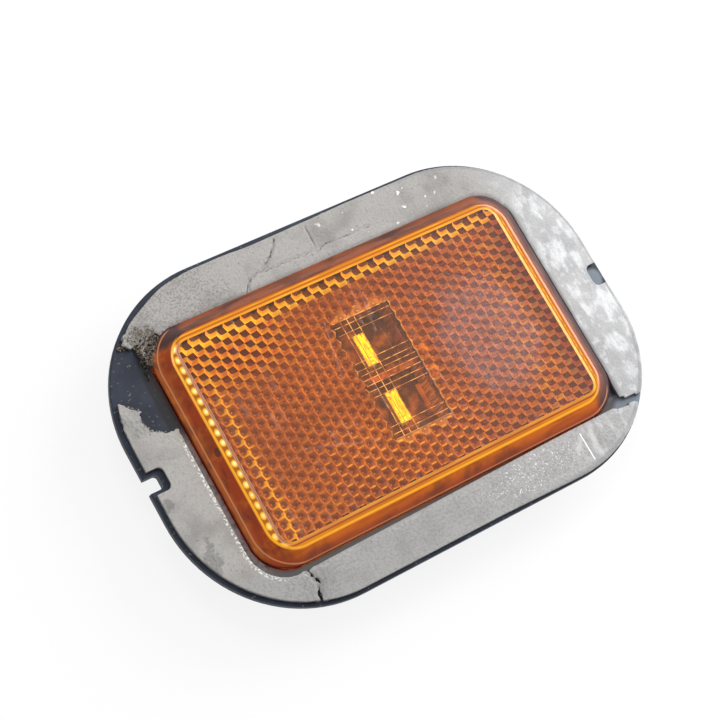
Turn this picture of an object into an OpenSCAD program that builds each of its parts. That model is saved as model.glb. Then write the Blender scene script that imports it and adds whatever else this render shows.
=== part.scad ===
// Side marker lamp: an amber reflex-reflector lens on a flanged housing, bonded by foam tape.
// The lamp lies on its back. Z is up through the lens and X runs along the long side.
// The notched end of the flange is at -X.

/* [Flange] */
// Flange beside the lens at its two ends
margin_l = 14.3; // [12:0.1:20]
// Flange beside the lens along its two sides
margin_w = 11.8; // [10:0.1:18]
// Corner radius of the flange outline
flange_r = 33.6; // [26:0.2:38]
// Thickness of the flange
flange_t = 2.2; // [1.8:0.1:3]
// Rounding of the flange's edges
flange_edge = 0.5; // [0.2:0.1:0.8]
// Width of the notch at the flange's end
notch_w = 3.6; // [2.4:0.2:6]
// Depth of that notch
notch_d = 3.6; // [2:0.2:5]

/* [Housing] */
// Depth of the housing behind the flange
tub_h = 12; // [11.5:0.5:18]
// Wall of the housing
wall = 1.8; // [1.4:0.1:2.2]
// Thickness of the rear wall
back_t = 2; // [1.4:0.1:2.4]
// Rounding of the rear edges
back_edge = 1.2; // [0.6:0.1:1.4]
// Width of the ledge that carries the lens
ledge = 3; // [2.8:0.1:3.6]
// Depth of the lens pocket below the flange face
seat_depth = 3; // [2.6:0.1:3.6]
// Clearance round the lens in its pocket
lens_gap = 0.2; // [0.1:0.05:0.4]
// Diameter of the breather hole
vent_d = 2.4; // [1.6:0.2:3]
// Diameter of the breather membrane
membrane_d = 9; // [7:0.5:12]
// Thickness of the breather membrane
membrane_t = 0.3; // [0.2:0.05:0.4]

/* [Lens] */
// Length of the lens at its foot
lens_l = 101.4; // [96:0.2:106]
// Width of the lens at its foot
lens_w = 62.4; // [60:0.2:66]
// Corner radius of the lens at its foot
lens_r = 9; // [8:0.2:12]
// Wall of the lens
lens_wall = 2.6; // [2.4:0.1:2.8]
// Height of the upright edge above the flange
lens_edge = 0.8; // [0.4:0.1:1.2]
// Height of the crown line above the flange
crown_h = 3.9; // [3.4:0.1:4.6]
// Run of the sloping rim at the lens's ends
rim_run_l = 4; // [3:0.1:4.4]
// Run of the sloping rim along its sides
rim_run_w = 3.3; // [3:0.1:4]
// Width of the border between crown and face at the ends
border_l = 2.3; // [1.8:0.1:3]
// Width of that border along the sides
border_w = 1.9; // [1.6:0.1:2.6]
// Rise of the face above the crown line
face_rise = 0.25; // [0.1:0.05:0.4]
// Corner radius of the face
face_r = 2.6; // [1.6:0.2:4]
// Thickness of the face over the reflector cells
face_t = 1.4; // [1.2:0.1:1.6]

/* [Reflector] */
// Distance between neighbouring reflector cells
pin_pitch = 2.693; // [2.5:0.001:3.2]
// Length of the clear window, across the lens
window_w = 31.4; // [28:0.2:34]
// Width of the clear window, along the lens
window_l = 15.6; // [14:0.2:18]
// Width of the bar that gathers the light over each lamp chip
bar_w = 3.2; // [2.6:0.1:3.8]
// Length of that bar
bar_l = 9; // [7:0.2:10]
// Drop of that bar below the window
bar_drop = 1.1; // [0.8:0.1:1.4]
// Spacing of the window's fine ribs, across the lens
rib_pitch_w = 1.5; // [1.3:0.05:1.8]
// Spacing of the fine ribs along the lens
rib_pitch_l = 2; // [1.7:0.05:2.1]
// Width of a fine rib
rib_w = 0.4; // [0.3:0.05:0.5]
// Drop of a fine rib below the window
rib_drop = 0.5; // [0.3:0.05:0.7]

/* [Foam tape] */
// Thickness of the tape
tape_t = 1.2; // [0.8:0.1:1.6]
// Border of bare flange outside the tape
tape_inset = 0.9; // [0.7:0.1:1.6]
// Gap from the lens to the tape at the notched end and the near side
tape_gap_wide = 1.7; // [1:0.1:2]
// Gap from the lens to the tape at the far end and the far side
tape_gap_narrow = 0.8; // [0.4:0.1:1.2]
// Width of the cut-outs at the tape's two ends
tape_notch_w = 5.6; // [4.4:0.2:8]
// How much further in than the flange's notch those cut-outs reach
tape_notch_over = 1.4; // [0.6:0.2:2]
// Width of the slit between two pieces of tape
slit_w = 2.7; // [1:0.1:3.4]
// Width of the crack right through the tape
crack_w = 0.5; // [0.3:0.1:1]

/* [Circuit board] */
// Thickness of the board
board_t = 1.6; // [1:0.1:2]
// Gap from the board's edge to the housing
board_gap = 1; // [0.5:0.1:2]
// Height of the board above the rear wall
board_up = 6.4; // [6:0.1:6.8]
// Diameter of the posts under the board
post_d = 6; // [5:0.2:7]
// Diameter of the pins that hold the board
stake_d = 2.8; // [2.4:0.1:3.4]
// Distance of the posts in from the board's edges
post_in = 6; // [5:0.5:8]
// Length of a lamp chip, across the lens
chip_l = 8; // [6:0.2:10]
// Width of a lamp chip
chip_w = 3.2; // [2.6:0.1:3.6]
// Height of a lamp chip
chip_h = 1.9; // [1.4:0.1:2.2]
// Wall of the shroud round the lamp chips
shroud_wall = 1; // [0.8:0.1:1.4]

/* [Connector] */
// Width of the socket's hollow
socket_w = 16; // [14:0.5:18]
// Height of the socket's hollow
socket_h = 7.4; // [6.6:0.2:7.8]
// Depth of the socket's hollow
socket_d = 11.8; // [11:0.2:13]
// Wall of the socket
socket_wall = 1.6; // [1.2:0.1:1.8]
// Width of a terminal blade
blade_w = 2.8; // [2.4:0.1:3.2]
// Thickness of a terminal blade
blade_t = 0.8; // [0.6:0.1:1]
// Length of the blade in the socket
blade_out = 6.8; // [5.6:0.2:7]
// Distance between the two blades
blade_pitch = 6; // [5:0.2:7]

/* [Hidden] */
$fn = 48;

housing_grey = [0.16, 0.18, 0.21];
amber = [1, 0.48, 0.06, 0.8];
foam_grey = [0.66, 0.65, 0.63];
board_brown = [0.24, 0.15, 0.1];
shroud_black = [0.09, 0.09, 0.1];
chip_white = [0.93, 0.93, 0.9];
resin_yellow = [0.95, 0.85, 0.3];
ceramic_black = [0.12, 0.12, 0.13];
ceramic_tan = [0.72, 0.6, 0.42];
solder_silver = [0.75, 0.76, 0.78];
brass_yellow = [0.8, 0.66, 0.3];
membrane_white = [0.9, 0.9, 0.88];

cut = 1;                                  // how far a cutting tool runs past the face it cuts
slack = 0.1;                              // play where one piece passes through another
fine = 0.02;                              // small overlap that keeps touching shapes joined

flange_l = lens_l + 2 * margin_l;
flange_w = lens_w + 2 * margin_w;
deck = tub_h + flange_t;                  // top face of the flange
seat_z = deck - seat_depth;               // where the lens's foot stands
pocket_l = lens_l + 2 * lens_gap;
pocket_w = lens_w + 2 * lens_gap;
pocket_r = lens_r + lens_gap;
cavity_l = lens_l - 2 * ledge;
cavity_w = lens_w - 2 * ledge;
cavity_r = lens_r - ledge;

crown_l = lens_l - 2 * rim_run_l;
crown_w = lens_w - 2 * rim_run_w;
crown_r = lens_r - (rim_run_l + rim_run_w) / 3;
face_l = crown_l - 2 * border_l;
face_w = crown_w - 2 * border_w;
crown_z = deck + crown_h;
face_z = crown_z + face_rise;
root_z = face_z - face_t;                 // underside of the face, where the reflector cells begin
roof_out = 1.2;                           // how far the hollow's roof runs outside the face
tongue = 0.8;                             // the welding tongue under the lens: width and height
tongue_in = 1.1;                          // its distance in from the lens's foot

// The rim's section as shares of its run and of its rise, rounded at its foot and at the crown.
function rim_curve() = [
    [0, 0], [0.02, 0.1], [0.07, 0.19], [0.15, 0.28], [0.86, 0.93], [0.94, 0.98], [1, 1]
];

board_l = cavity_l - 2 * board_gap;
board_w = cavity_w - 2 * board_gap;
board_r = cavity_r - board_gap;
board_z = back_t + board_up;
board_top = board_z + board_t;
post_x = board_l / 2 - post_in;
post_y = board_w / 2 - post_in;
stake_head = 0.9;                         // height of the head melted over each pin

chip_y = window_w / 4;                    // the two lamp chips lie at the middle of the window's halves
bar_x = -0.8;                             // the bars and chips lie a little off the window's middle
tub_end = cavity_l / 2 + wall;            // outer face of the housing's end wall
socket_rise = 1.3;
socket_z = (back_t + board_z) / 2 + socket_rise;  // middle height of the socket and its blades
blade_in = 9;                             // distance of the blades' legs in from the board's end
blade_x = board_l / 2 - blade_in;
blade_leg = 1.2;                          // width of the leg on which a blade turns up
leg_out = 0.8;                            // how far the leg stands above the board
vent_x = -cavity_l / 4;
vent_recess = membrane_t + 0.2;

tape_r = 9.5;                             // corner radius of the tape's opening
half_l = lens_l / 2;
half_w = lens_w / 2;

// Torn edges of the tape at the notched end: each point is its share of the margin outside the
// lens and its share of the lens's half width.
function tear_near() = [
    [1.1, 0.7], [0.79, 0.63], [0.53, 0.51], [0.6, 0.45], [0.53, 0.35], [0.29, 0.29], [-0.05, 0.27]
];
function tear_far() = [
    [-0.05, 0.86], [0.03, 0.82], [0.05, 0.9], [0.03, 0.99], [0.15, 0.97], [0.28, 1.01], [0.5, 1.2]
];
// The crack on the near side: share of the lens's half length, and share of the flange beside it.
function crack_line() = [[-0.85, -0.1], [-0.83, 0.12], [-0.805, 0.46], [-0.83, 0.62], [-0.84, 1.1]];

function mix(a, b, t) = a + (b - a) * t;
function tear_point(p) = [-half_l - p[0] * margin_l, p[1] * half_w];
function crack_point(p) = [p[0] * half_l, -half_w - p[1] * margin_w];

// Flat outline: a rectangle with round corners.
module plan(l, w, r) {
    square([l - 2 * r, w], center = true);
    square([l, w - 2 * r], center = true);
    for (x = [-1, 1], y = [-1, 1])
        translate([x * (l / 2 - r), y * (w / 2 - r)])
            circle(r);
}

module slab(l, w, r, z, h) {
    translate([0, 0, z])
        linear_extrude(h)
            plan(l, w, r);
}

// Half of a section, out to x and up to h, with its lower and upper outer corners rounded.
module half_section(x, h, low, high) {
    square([x - low, h / 2]);
    translate([0, h / 2])
        square([x - high, h / 2]);
    translate([0, low])
        square([x, h - low - high]);
    translate([x - low, low])
        circle(low);
    if (high > 0)
        translate([x - high, h - high])
            circle(high);
}

// A moulded block of the plan above, with rounded lower and upper edges.
module soft_block(l, w, r, h, low, high) {
    for (x = [-1, 1], y = [-1, 1])
        translate([x * (l / 2 - r), y * (w / 2 - r), 0])
            rotate_extrude()
                half_section(r, h, low, high);
    for (side = [0, 1])
        mirror([side, 0, 0])
            rotate([90, 0, 0])
                linear_extrude(w - 2 * r, center = true)
                    half_section(l / 2, h, low, high);
    for (side = [0, 180])
        rotate([0, 0, side])
            rotate([90, 0, 90])
                linear_extrude(l - 2 * r, center = true)
                    half_section(w / 2, h, low, high);
}

// A U-shaped notch that opens towards -X, with round inner corners.
module notch_plan(w, inner_x, outer_x, r) {
    translate([outer_x, -w / 2])
        square([inner_x - r - outer_x, w]);
    translate([inner_x - r - fine, -w / 2 + r])
        square([r + fine, w - 2 * r]);
    for (y = [-1, 1])
        translate([inner_x - r, y * (w / 2 - r)])
            circle(r);
}

// Where each of two things along a line lies, from its number 0 or 1.
function pair(i, spacing) = (i - 0.5) * spacing;

module at_posts() {
    for (x = [-1, 1], y = [-1, 1])
        translate([x * post_x, y * post_y, 0])
            children();
}

module socket_box(l, w, h, x) {
    translate([x, -w / 2, socket_z - h / 2])
        cube([l, w, h]);
}

// The socket's body reaches up into the flange.
module socket_body() {
    low = socket_z - socket_h / 2 - socket_wall;
    translate([tub_end - wall, -socket_w / 2 - socket_wall, low])
        cube([socket_d + wall, socket_w + 2 * socket_wall, tub_h + flange_t / 2 - low]);
}

// The dark moulding: flange, pocket for the lens, tub behind it and the connector's socket.
module housing() {
    color(housing_grey) {
        difference() {
            union() {
                translate([0, 0, tub_h])
                    soft_block(flange_l, flange_w, flange_r, flange_t, flange_edge, flange_edge);
                slab(pocket_l + 2 * wall, pocket_w + 2 * wall, pocket_r + wall,
                     seat_z - wall, tub_h + flange_t / 2 - seat_z + wall);
                soft_block(cavity_l + 2 * wall, cavity_w + 2 * wall, cavity_r + wall, seat_z, back_edge, 0);
                socket_body();
            }
            slab(pocket_l, pocket_w, pocket_r, seat_z, seat_depth + cut);
            slab(cavity_l, cavity_w, cavity_r, back_t, deck);
            difference() {
                slab(lens_l - 2 * tongue_in + slack, lens_w - 2 * tongue_in + slack,
                     lens_r - tongue_in + slack / 2, seat_z - tongue - slack, tongue + slack + cut);
                slab(lens_l - 2 * (tongue_in + tongue) - slack, lens_w - 2 * (tongue_in + tongue) - slack,
                     lens_r - tongue_in - tongue - slack / 2, seat_z - tongue - 2 * slack, tongue + 4 * cut);
            }
            translate([0, 0, tub_h - cut])
                linear_extrude(flange_t + 2 * cut)
                    notch_plan(notch_w, notch_d - flange_l / 2, -flange_l / 2 - cut, notch_w / 4);
            socket_box(socket_d + cut, socket_w, socket_h, tub_end);
            for (i = [0, 1])
                translate([0, pair(i, blade_pitch), 0])
                    socket_box(wall + 2 * cut, blade_w + slack, blade_t + slack, tub_end - wall - cut);
            translate([vent_x, 0, -cut])
                cylinder(d = vent_d, h = back_t + 2 * cut);
            translate([vent_x, 0, -cut])
                cylinder(d = membrane_d + slack, h = vent_recess + cut);
        }
        at_posts() {
            translate([0, 0, back_t / 2])
                cylinder(d = post_d, h = board_z - back_t / 2);
            cylinder(d = stake_d, h = board_top + stake_head);
            translate([0, 0, board_top])
                cylinder(d1 = stake_d + 2 * stake_head, d2 = stake_d, h = stake_head);
        }
    }
}

// A level ring of points: a rectangle with round corners, given as [length, width, corner radius, height].
ring_steps = $fn / 6;

function ring(s) = [
    for (corner = [0 : 3], i = [0 : ring_steps])
        let (
            a = 90 * (corner + i / ring_steps),
            x = (corner == 0 || corner == 3 ? 1 : -1) * (s[0] / 2 - s[2]),
            y = (corner < 2 ? 1 : -1) * (s[1] / 2 - s[2])
        )
            [x + s[2] * cos(a), y + s[2] * sin(a), s[3]]
];

// A solid drawn through a stack of such rings, from the lowest up.
module loft(slices) {
    n = 4 * (ring_steps + 1);
    polyhedron(
        points = [for (s = slices) each ring(s)],
        faces = concat(
            [[for (i = [0 : n - 1]) i]],
            [
                for (k = [1 : len(slices) - 1], i = [0 : n - 1])
                    let (a = (k - 1) * n, b = k * n, j = (i + 1) % n)
                        each [[a + i, b + i, a + j], [a + j, b + i, b + j]]
            ],
            [[for (i = [n - 1 : -1 : 0]) (len(slices) - 1) * n + i]]
        )
    );
}

function rim_slice(p) = [
    lens_l - 2 * rim_run_l * p[0],
    lens_w - 2 * rim_run_w * p[0],
    mix(lens_r, crown_r, p[0]),
    mix(deck + lens_edge, crown_z, p[1])
];

// The border between crown and face: shares of its width and of the face's rise.
function border_curve() = [[0.55, 0.02], [0.8, 0.35], [0.92, 0.85], [1, 1]];

function border_slice(p) = [
    crown_l - 2 * border_l * p[0],
    crown_w - 2 * border_w * p[0],
    mix(crown_r, face_r, p[0]),
    mix(crown_z, face_z, p[1])
];

module lens_skin() {
    loft(concat(
        [[lens_l, lens_w, lens_r, seat_z]],
        [for (p = rim_curve()) rim_slice(p)],
        [for (p = border_curve()) border_slice(p)]
    ));
}

module lens_hollow() {
    foot = [lens_l - 2 * lens_wall, lens_w - 2 * lens_wall, lens_r - lens_wall];
    roof = [face_l + 2 * roof_out, face_w + 2 * roof_out, face_r + roof_out];
    loft([concat(foot, seat_z - cut), concat(foot, deck), concat(roof, root_z)]);
}

// The reflector cells lie on a hexagonal grid, counted in half steps along X and Y. Each cell is
// the corner of a cube: its tip hangs lowest, and its rim climbs one and two levels in turn.
cell_x = pin_pitch / (2 * sqrt(3));
cell_y = pin_pitch / 2;
level = pin_pitch / sqrt(6);
function cell_rim(k) = [[2, 0], [1, 1], [-1, 1], [-2, 0], [-1, -1], [1, -1]][k];
function cell_next(k) = [[3, 1], [0, 2], [-3, 1], [-3, -1], [0, -2], [3, -1]][k];

function in_field(c) =
    abs(c[0]) * cell_x < face_l / 2 - cell_x
    && abs(c[1]) * cell_y < face_w / 2 - cell_y / 2
    && !(abs(c[0]) * cell_x < window_l / 2 + cell_x && abs(c[1]) * cell_y < window_w / 2 + cell_y / 2);

columns = ceil(face_l / (6 * cell_x));
rows = ceil(face_w / (4 * cell_y));
cells = [
    for (i = [-columns : columns], j = [-rows : rows])
        let (c = [3 * i, 2 * j + abs(i) % 2])
            if (in_field(c)) c
];

function cell_point(c, k, z) = [(c[0] + cell_rim(k)[0]) * cell_x, (c[1] + cell_rim(k)[1]) * cell_y, z];

// Each cell has its tip, six rim points below and six above, as points 0, 1 to 6 and 7 to 12.
function cell_points(c) = concat(
    [[c[0] * cell_x, c[1] * cell_y, root_z - 2 * level]],
    [for (k = [0 : 5]) cell_point(c, k, root_z - (k % 2 == 0 ? level : 0))],
    [for (k = [0 : 5]) cell_point(c, k, root_z + face_t / 2)]
);

function cell_faces(c, n) = concat(
    [for (k = [0, 2, 4]) [n, n + 1 + k, n + 2 + k, n + 1 + (k + 2) % 6]],
    [[for (k = [5 : -1 : 0]) n + 7 + k]],
    [
        for (k = [0 : 5])
            if (!in_field(c + cell_next(k)))
                [n + 1 + k, n + 7 + k, n + 7 + (k + 1) % 6, n + 1 + (k + 1) % 6]
    ]
);

module reflector_cells() {
    polyhedron(
        points = [for (c = cells) each cell_points(c)],
        faces = [for (n = [0 : len(cells) - 1]) each cell_faces(cells[n], 13 * n)]
    );
}

// A fine rib under the window, from one point to another.
module rib(a, b) {
    hull()
        for (p = [a, b])
            translate([p[0], p[1], root_z - rib_drop])
                cylinder(d = rib_w, h = rib_drop + face_t / 2, $fn = 8);
}

// The clear window's underside: a gathering bar over each chip, and fine ribs that cross each other.
module window_optics() {
    end_x = window_l / 2 - rib_w;
    end_y = window_w / 2 - rib_w;
    for (i = [0, 1])
        intersection() {
            translate([bar_x, pair(i, 2 * chip_y) + bar_l / 2, root_z + bar_w / 2 - bar_drop])
                rotate([90, 0, 0])
                    cylinder(d = bar_w, h = bar_l, $fn = 24);
            translate([bar_x - bar_w, -window_w / 2, root_z - bar_w])
                cube([2 * bar_w, window_w, bar_w + face_t / 2]);
        }
    for (side = [-1, 1], n = [0 : 2]) {
        rib([-end_x, side * (n + 0.5) * rib_pitch_w], [end_x, side * (n + 0.5) * rib_pitch_w]);
        rib([-end_x, side * (window_w / 2 - (n + 1) * rib_pitch_w)],
            [end_x, side * (window_w / 2 - (n + 1) * rib_pitch_w)]);
    }
    for (n = [1 : 3])
        rib([n * rib_pitch_l - window_l / 2, -end_y], [n * rib_pitch_l - window_l / 2, end_y]);
}

// The clear amber moulding with its reflector cells, window optics and welding tongue.
module lens() {
    color(amber) {
        difference() {
            lens_skin();
            lens_hollow();
        }
        reflector_cells();
        window_optics();
        difference() {
            slab(lens_l - 2 * tongue_in, lens_w - 2 * tongue_in,
                 lens_r - tongue_in, seat_z - tongue, tongue + slack);
            slab(lens_l - 2 * (tongue_in + tongue), lens_w - 2 * (tongue_in + tongue),
                 lens_r - tongue_in - tongue, seat_z - tongue - slack, tongue + 3 * slack);
        }
    }
}

// The opening round the lens. Its corner by the slit is cut square, because two straight strips meet there.
module tape_opening() {
    l = lens_l + tape_gap_wide + tape_gap_narrow;
    w = lens_w + tape_gap_wide + tape_gap_narrow;
    shift = (tape_gap_narrow - tape_gap_wide) / 2;
    translate([shift, shift]) {
        plan(l, w, tape_r);
        translate([0, -w / 2])
            square([l / 2, w / 2]);
    }
}

module tape_notch(inner_x) {
    notch_plan(tape_notch_w, inner_x, -flange_l, 1.4);
}

module tear() {
    polygon(concat([for (p = tear_near()) tear_point(p)], [for (p = tear_far()) tear_point(p)]));
}

module crack() {
    edge = [for (p = crack_line()) crack_point(p)];
    polygon(concat(
        edge,
        [for (i = [len(edge) - 1 : -1 : 0]) edge[i] + [crack_w, 0]]
    ));
}

slit_rise = 0.5;
slit_y = slit_rise - half_w;              // the slit's upper edge, at the end of the far strip

module slit() {
    translate([half_l - margin_l / 4, slit_y - slit_w])
        square([flange_l, slit_w]);
}

// The whole ring of tape, with every gap cut out of it.
module tape_ring() {
    difference() {
        plan(flange_l - 2 * tape_inset, flange_w - 2 * tape_inset, flange_r - tape_inset);
        tape_opening();
        tape_notch(notch_d + tape_notch_over - flange_l / 2);
        mirror([1, 0])
            tape_notch(notch_d + tape_notch_over / 3 - flange_l / 2);
        tear();
        crack();
        slit();
    }
}

// The piece of the ring that lies in the outline drawn by the children.
module tape_piece() {
    color(foam_grey)
        translate([0, 0, deck])
            linear_extrude(tape_t)
                intersection() {
                    tape_ring();
                    children();
                }
}

// A line down the middle of the torn gap, and the inner end of the crack, part the pieces.
tear_middle = [for (p = [[1.4, 0.95], [0.35, 0.6], [-0.6, 0.5]]) tear_point(p)];
crack_middle = [for (p = crack_line()) crack_point(p) + [crack_w / 2, 0]];
crack_far = [crack_middle[4][0], -flange_w];
slit_middle = [
    [half_l - margin_l / 4, slit_y], [half_l, slit_y - slit_w / 2], [flange_l, slit_y - slit_w / 2]
];

module tape_left() {
    tape_piece()
        polygon(concat(
            tear_middle, crack_middle, [crack_far, [-flange_l, -flange_w], [-flange_l, tear_middle[0][1]]]
        ));
}

module tape_lower() {
    tape_piece()
        polygon(concat(
            crack_middle, [crack_far, [flange_l, -flange_w]], [slit_middle[2], slit_middle[1], slit_middle[0]]
        ));
}

module tape_upper() {
    tape_piece()
        polygon(concat(
            tear_middle, slit_middle,
            [[flange_l, flange_w], [-flange_l, flange_w], [-flange_l, tear_middle[0][1]]]
        ));
}

module circuit_board() {
    color(board_brown)
        difference() {
            slab(board_l, board_w, board_r, board_z, board_t);
            at_posts()
                cylinder(d = stake_d + slack, h = deck);
            for (i = [0, 1])
                translate([blade_x + blade_t / 2, pair(i, blade_pitch), board_z - cut])
                    cylinder(d = blade_leg * 1.5, h = board_t + 2 * cut);
        }
}

// The black frame that keeps each chip's light in its own half of the window.
module led_shroud() {
    inner_w = window_w / 2 - shroud_wall;
    shroud_h = root_z - 2 * level - board_top - slack;
    color(shroud_black)
        difference() {
            translate([-window_l / 2 - shroud_wall, -window_w / 2 - shroud_wall, board_top])
                cube([window_l + 2 * shroud_wall, window_w + 2 * shroud_wall, shroud_h]);
            for (i = [0, 1])
                translate([-window_l / 2, pair(i, (window_w + shroud_wall) / 2) - inner_w / 2, board_top - cut])
                    cube([window_l, inner_w, shroud_h + 2 * cut]);
        }
}

// A lamp chip: a long white cup filled with clear resin, on two folded leads.
module led(i) {
    lead = 0.2;
    lip = chip_w / 8;
    cup = chip_h / 4;
    translate([bar_x, pair(i, 2 * chip_y), board_top]) {
        color(chip_white)
            difference() {
                translate([-chip_w / 2, -chip_l / 2, lead])
                    cube([chip_w, chip_l, chip_h - lead]);
                translate([lip - chip_w / 2, lip - chip_l / 2, chip_h - cup])
                    cube([chip_w - 2 * lip, chip_l - 2 * lip, cup + fine]);
            }
        color(resin_yellow)
            translate([lip - chip_w / 2, lip - chip_l / 2, chip_h - cup])
                cube([chip_w - 2 * lip, chip_l - 2 * lip, cup * 2 / 3]);
        color(solder_silver)
            for (y = [-1, 1])
                translate([-chip_w / 3, y * chip_l / 2 - lead * 2, 0])
                    cube([chip_w * 2 / 3, lead * 4, lead * 2]);
    }
}

// Usual case sizes of the small parts: length, width and height.
resistor_case = [3.2, 1.6, 0.6];
capacitor_case = [3.2, 2.5, 1.6];
diode_case = [4.4, 2.7, 2.1];
suppressor_case = [5.4, 3.6, 2.3];
regulator_case = [4.9, 3.9, 1.5];
leg_pitch = 1.27;                         // distance between the regulator's legs
leg_w = 0.4;
leg_l = 1.2;
leg_t = 0.3;

// A ceramic block with silvered ends, lying on the board.
module chip_block(x, y, case, shade) {
    l = case[0];
    w = case[1];
    h = case[2];
    cap = l / 6;
    translate([x, y, board_top]) {
        color(shade)
            translate([-l / 2 + cap / 2, -w / 2 + fine, fine])
                cube([l - cap, w - 2 * fine, h - 2 * fine]);
        color(solder_silver)
            for (side = [0, 1])
                translate([pair(side, l - cap) - cap / 2, -w / 2, 0])
                    cube([cap, w, h]);
    }
}

part_x = board_l / 4 + window_l / 8;      // the parts lie half way from the window to the board's ends
part_step = 8;                            // from one column of parts to the next

module resistor(i) {
    chip_block(-part_x, (i - 1.5) * board_w / 7, resistor_case, ceramic_black);
}

module capacitor(i) {
    chip_block(part_x, pair(i, board_w / 3), capacitor_case, ceramic_tan);
}

module diode() {
    chip_block(part_x + part_step, board_w / 5, diode_case, ceramic_black);
}

module suppressor() {
    chip_block(part_x + part_step, -board_w / 5, suppressor_case, ceramic_black);
}

// The current regulator: an eight-legged chip.
module regulator() {
    l = regulator_case[0];
    w = regulator_case[1];
    translate([part_x - part_step * 3 / 4, 0, board_top]) {
        color(ceramic_black)
            translate([-l / 2, -w / 2, leg_t / 2])
                cube(regulator_case);
        color(solder_silver)
            for (n = [0 : 3], y = [-1, 1])
                translate([(n - 1.5) * leg_pitch - leg_w / 2, y * (w / 2 + leg_l / 4) - leg_l / 2, 0])
                    cube([leg_w, leg_l, leg_t]);
    }
}

// A brass blade: it stands out into the socket and turns up through the board.
module terminal(i) {
    color(brass_yellow)
        translate([0, pair(i, blade_pitch), 0]) {
            translate([blade_x, -blade_w / 2, socket_z - blade_t / 2])
                cube([tub_end + blade_out - blade_x, blade_w, blade_t]);
            translate([blade_x, -blade_leg / 2, socket_z])
                cube([blade_t, blade_leg, board_top + leg_out - socket_z]);
        }
}

// The breather's thin white disc, sunk in the rear wall.
module vent_membrane() {
    color(membrane_white)
        translate([vent_x, 0, vent_recess - membrane_t])
            cylinder(d = membrane_d, h = membrane_t);
}

housing();
lens();
tape_left();
tape_lower();
tape_upper();
circuit_board();
led_shroud();
led(1);  // led_upper
led(0);  // led_lower
for (i = [0 : 3])
    resistor(i);
diode();
suppressor();
regulator();
for (i = [0, 1]) {
    capacitor(i);
    terminal(i);
}
vent_membrane();
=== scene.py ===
# Side marker lamp: an amber reflector lens on a dark flanged housing, with worn foam tape round it.
import math
import bmesh
import bpy
import numpy as np
from mathutils import Matrix, Vector, noise


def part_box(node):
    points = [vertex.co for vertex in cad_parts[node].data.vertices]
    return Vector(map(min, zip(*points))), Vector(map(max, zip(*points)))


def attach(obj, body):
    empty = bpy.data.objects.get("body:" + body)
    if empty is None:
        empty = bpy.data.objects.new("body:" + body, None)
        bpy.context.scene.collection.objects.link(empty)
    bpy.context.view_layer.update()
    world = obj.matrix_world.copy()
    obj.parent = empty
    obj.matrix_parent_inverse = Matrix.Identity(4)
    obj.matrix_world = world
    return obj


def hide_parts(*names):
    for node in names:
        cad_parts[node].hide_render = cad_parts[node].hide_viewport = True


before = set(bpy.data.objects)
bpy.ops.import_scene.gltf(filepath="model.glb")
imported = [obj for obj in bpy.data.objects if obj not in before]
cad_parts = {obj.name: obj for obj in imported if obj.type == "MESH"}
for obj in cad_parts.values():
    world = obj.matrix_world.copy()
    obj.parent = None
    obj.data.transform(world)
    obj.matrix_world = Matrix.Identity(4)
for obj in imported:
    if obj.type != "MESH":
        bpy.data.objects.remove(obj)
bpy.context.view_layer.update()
scene = bpy.context.scene
mm = 0.001
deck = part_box("housing")[1].z          # top face of the flange
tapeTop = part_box("tape_upper")[1].z
print("frame loaded")


# Camera and studio

cameraView = {
    "azimuth": -66.44, "elevation": 63.12, "roll": 38.97,     # degrees, as a turn, a tilt and a roll
    "distance": 465.74, "aside": (6.379, -3.217),             # mm, from the middle of the flange's top
    "lens": 99.12,
}
studio = {
    "sky": 0.66, "horizon": 1.0, "horizonTop": 0.35,           # grey sky, white near the floor
    "darkToward": (-0.42, -0.18, 0.89), "dark": 0.16, "darkWidth": (10, 24),   # the unlit side, degrees
    "floorColor": 0.9, "floorGlow": 0.85, "floorSize": 4.0,
}
softboxes = [                                                  # name, direction, metres away, size, watts
    ("keyLight", (0.93, 0.30, 0.62), 0.9, 0.62, 8.0),
    ("topLight", (-0.12, 0.42, 1.0), 1.1, 0.34, 2.4),
]


def makeCamera(view):
    azimuth, elevation, roll = (math.radians(view[k]) for k in ("azimuth", "elevation", "roll"))
    back = Vector((math.sin(azimuth) * math.cos(elevation), -math.cos(azimuth) * math.cos(elevation),
                   math.sin(elevation)))
    level = Vector((math.cos(azimuth), math.sin(azimuth), 0))
    upright = back.cross(level)
    right = math.cos(roll) * level + math.sin(roll) * upright
    up = math.cos(roll) * upright - math.sin(roll) * level
    place = (back * view["distance"] - right * view["aside"][0] - up * view["aside"][1]) * mm
    data = bpy.data.cameras.new("photoCamera")
    data.lens = view["lens"]
    data.clip_start = 0.01
    camera = bpy.data.objects.new("photoCamera", data)
    turn = Matrix((right, up, back)).transposed().to_4x4()
    camera.matrix_world = Matrix.Translation(place + Vector((0, 0, deck))) @ turn
    scene.collection.objects.link(camera)
    scene.camera = camera


def makeSoftbox(name, direction, distance, size, watts):
    data = bpy.data.lights.new(name, "AREA")
    data.shape = "SQUARE"
    data.size = size
    data.energy = watts
    lamp = bpy.data.objects.new(name, data)
    away = Vector(direction).normalized()
    lamp.location = away * distance
    lamp.rotation_euler = away.to_track_quat("Z", "Y").to_euler()
    scene.collection.objects.link(lamp)


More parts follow.
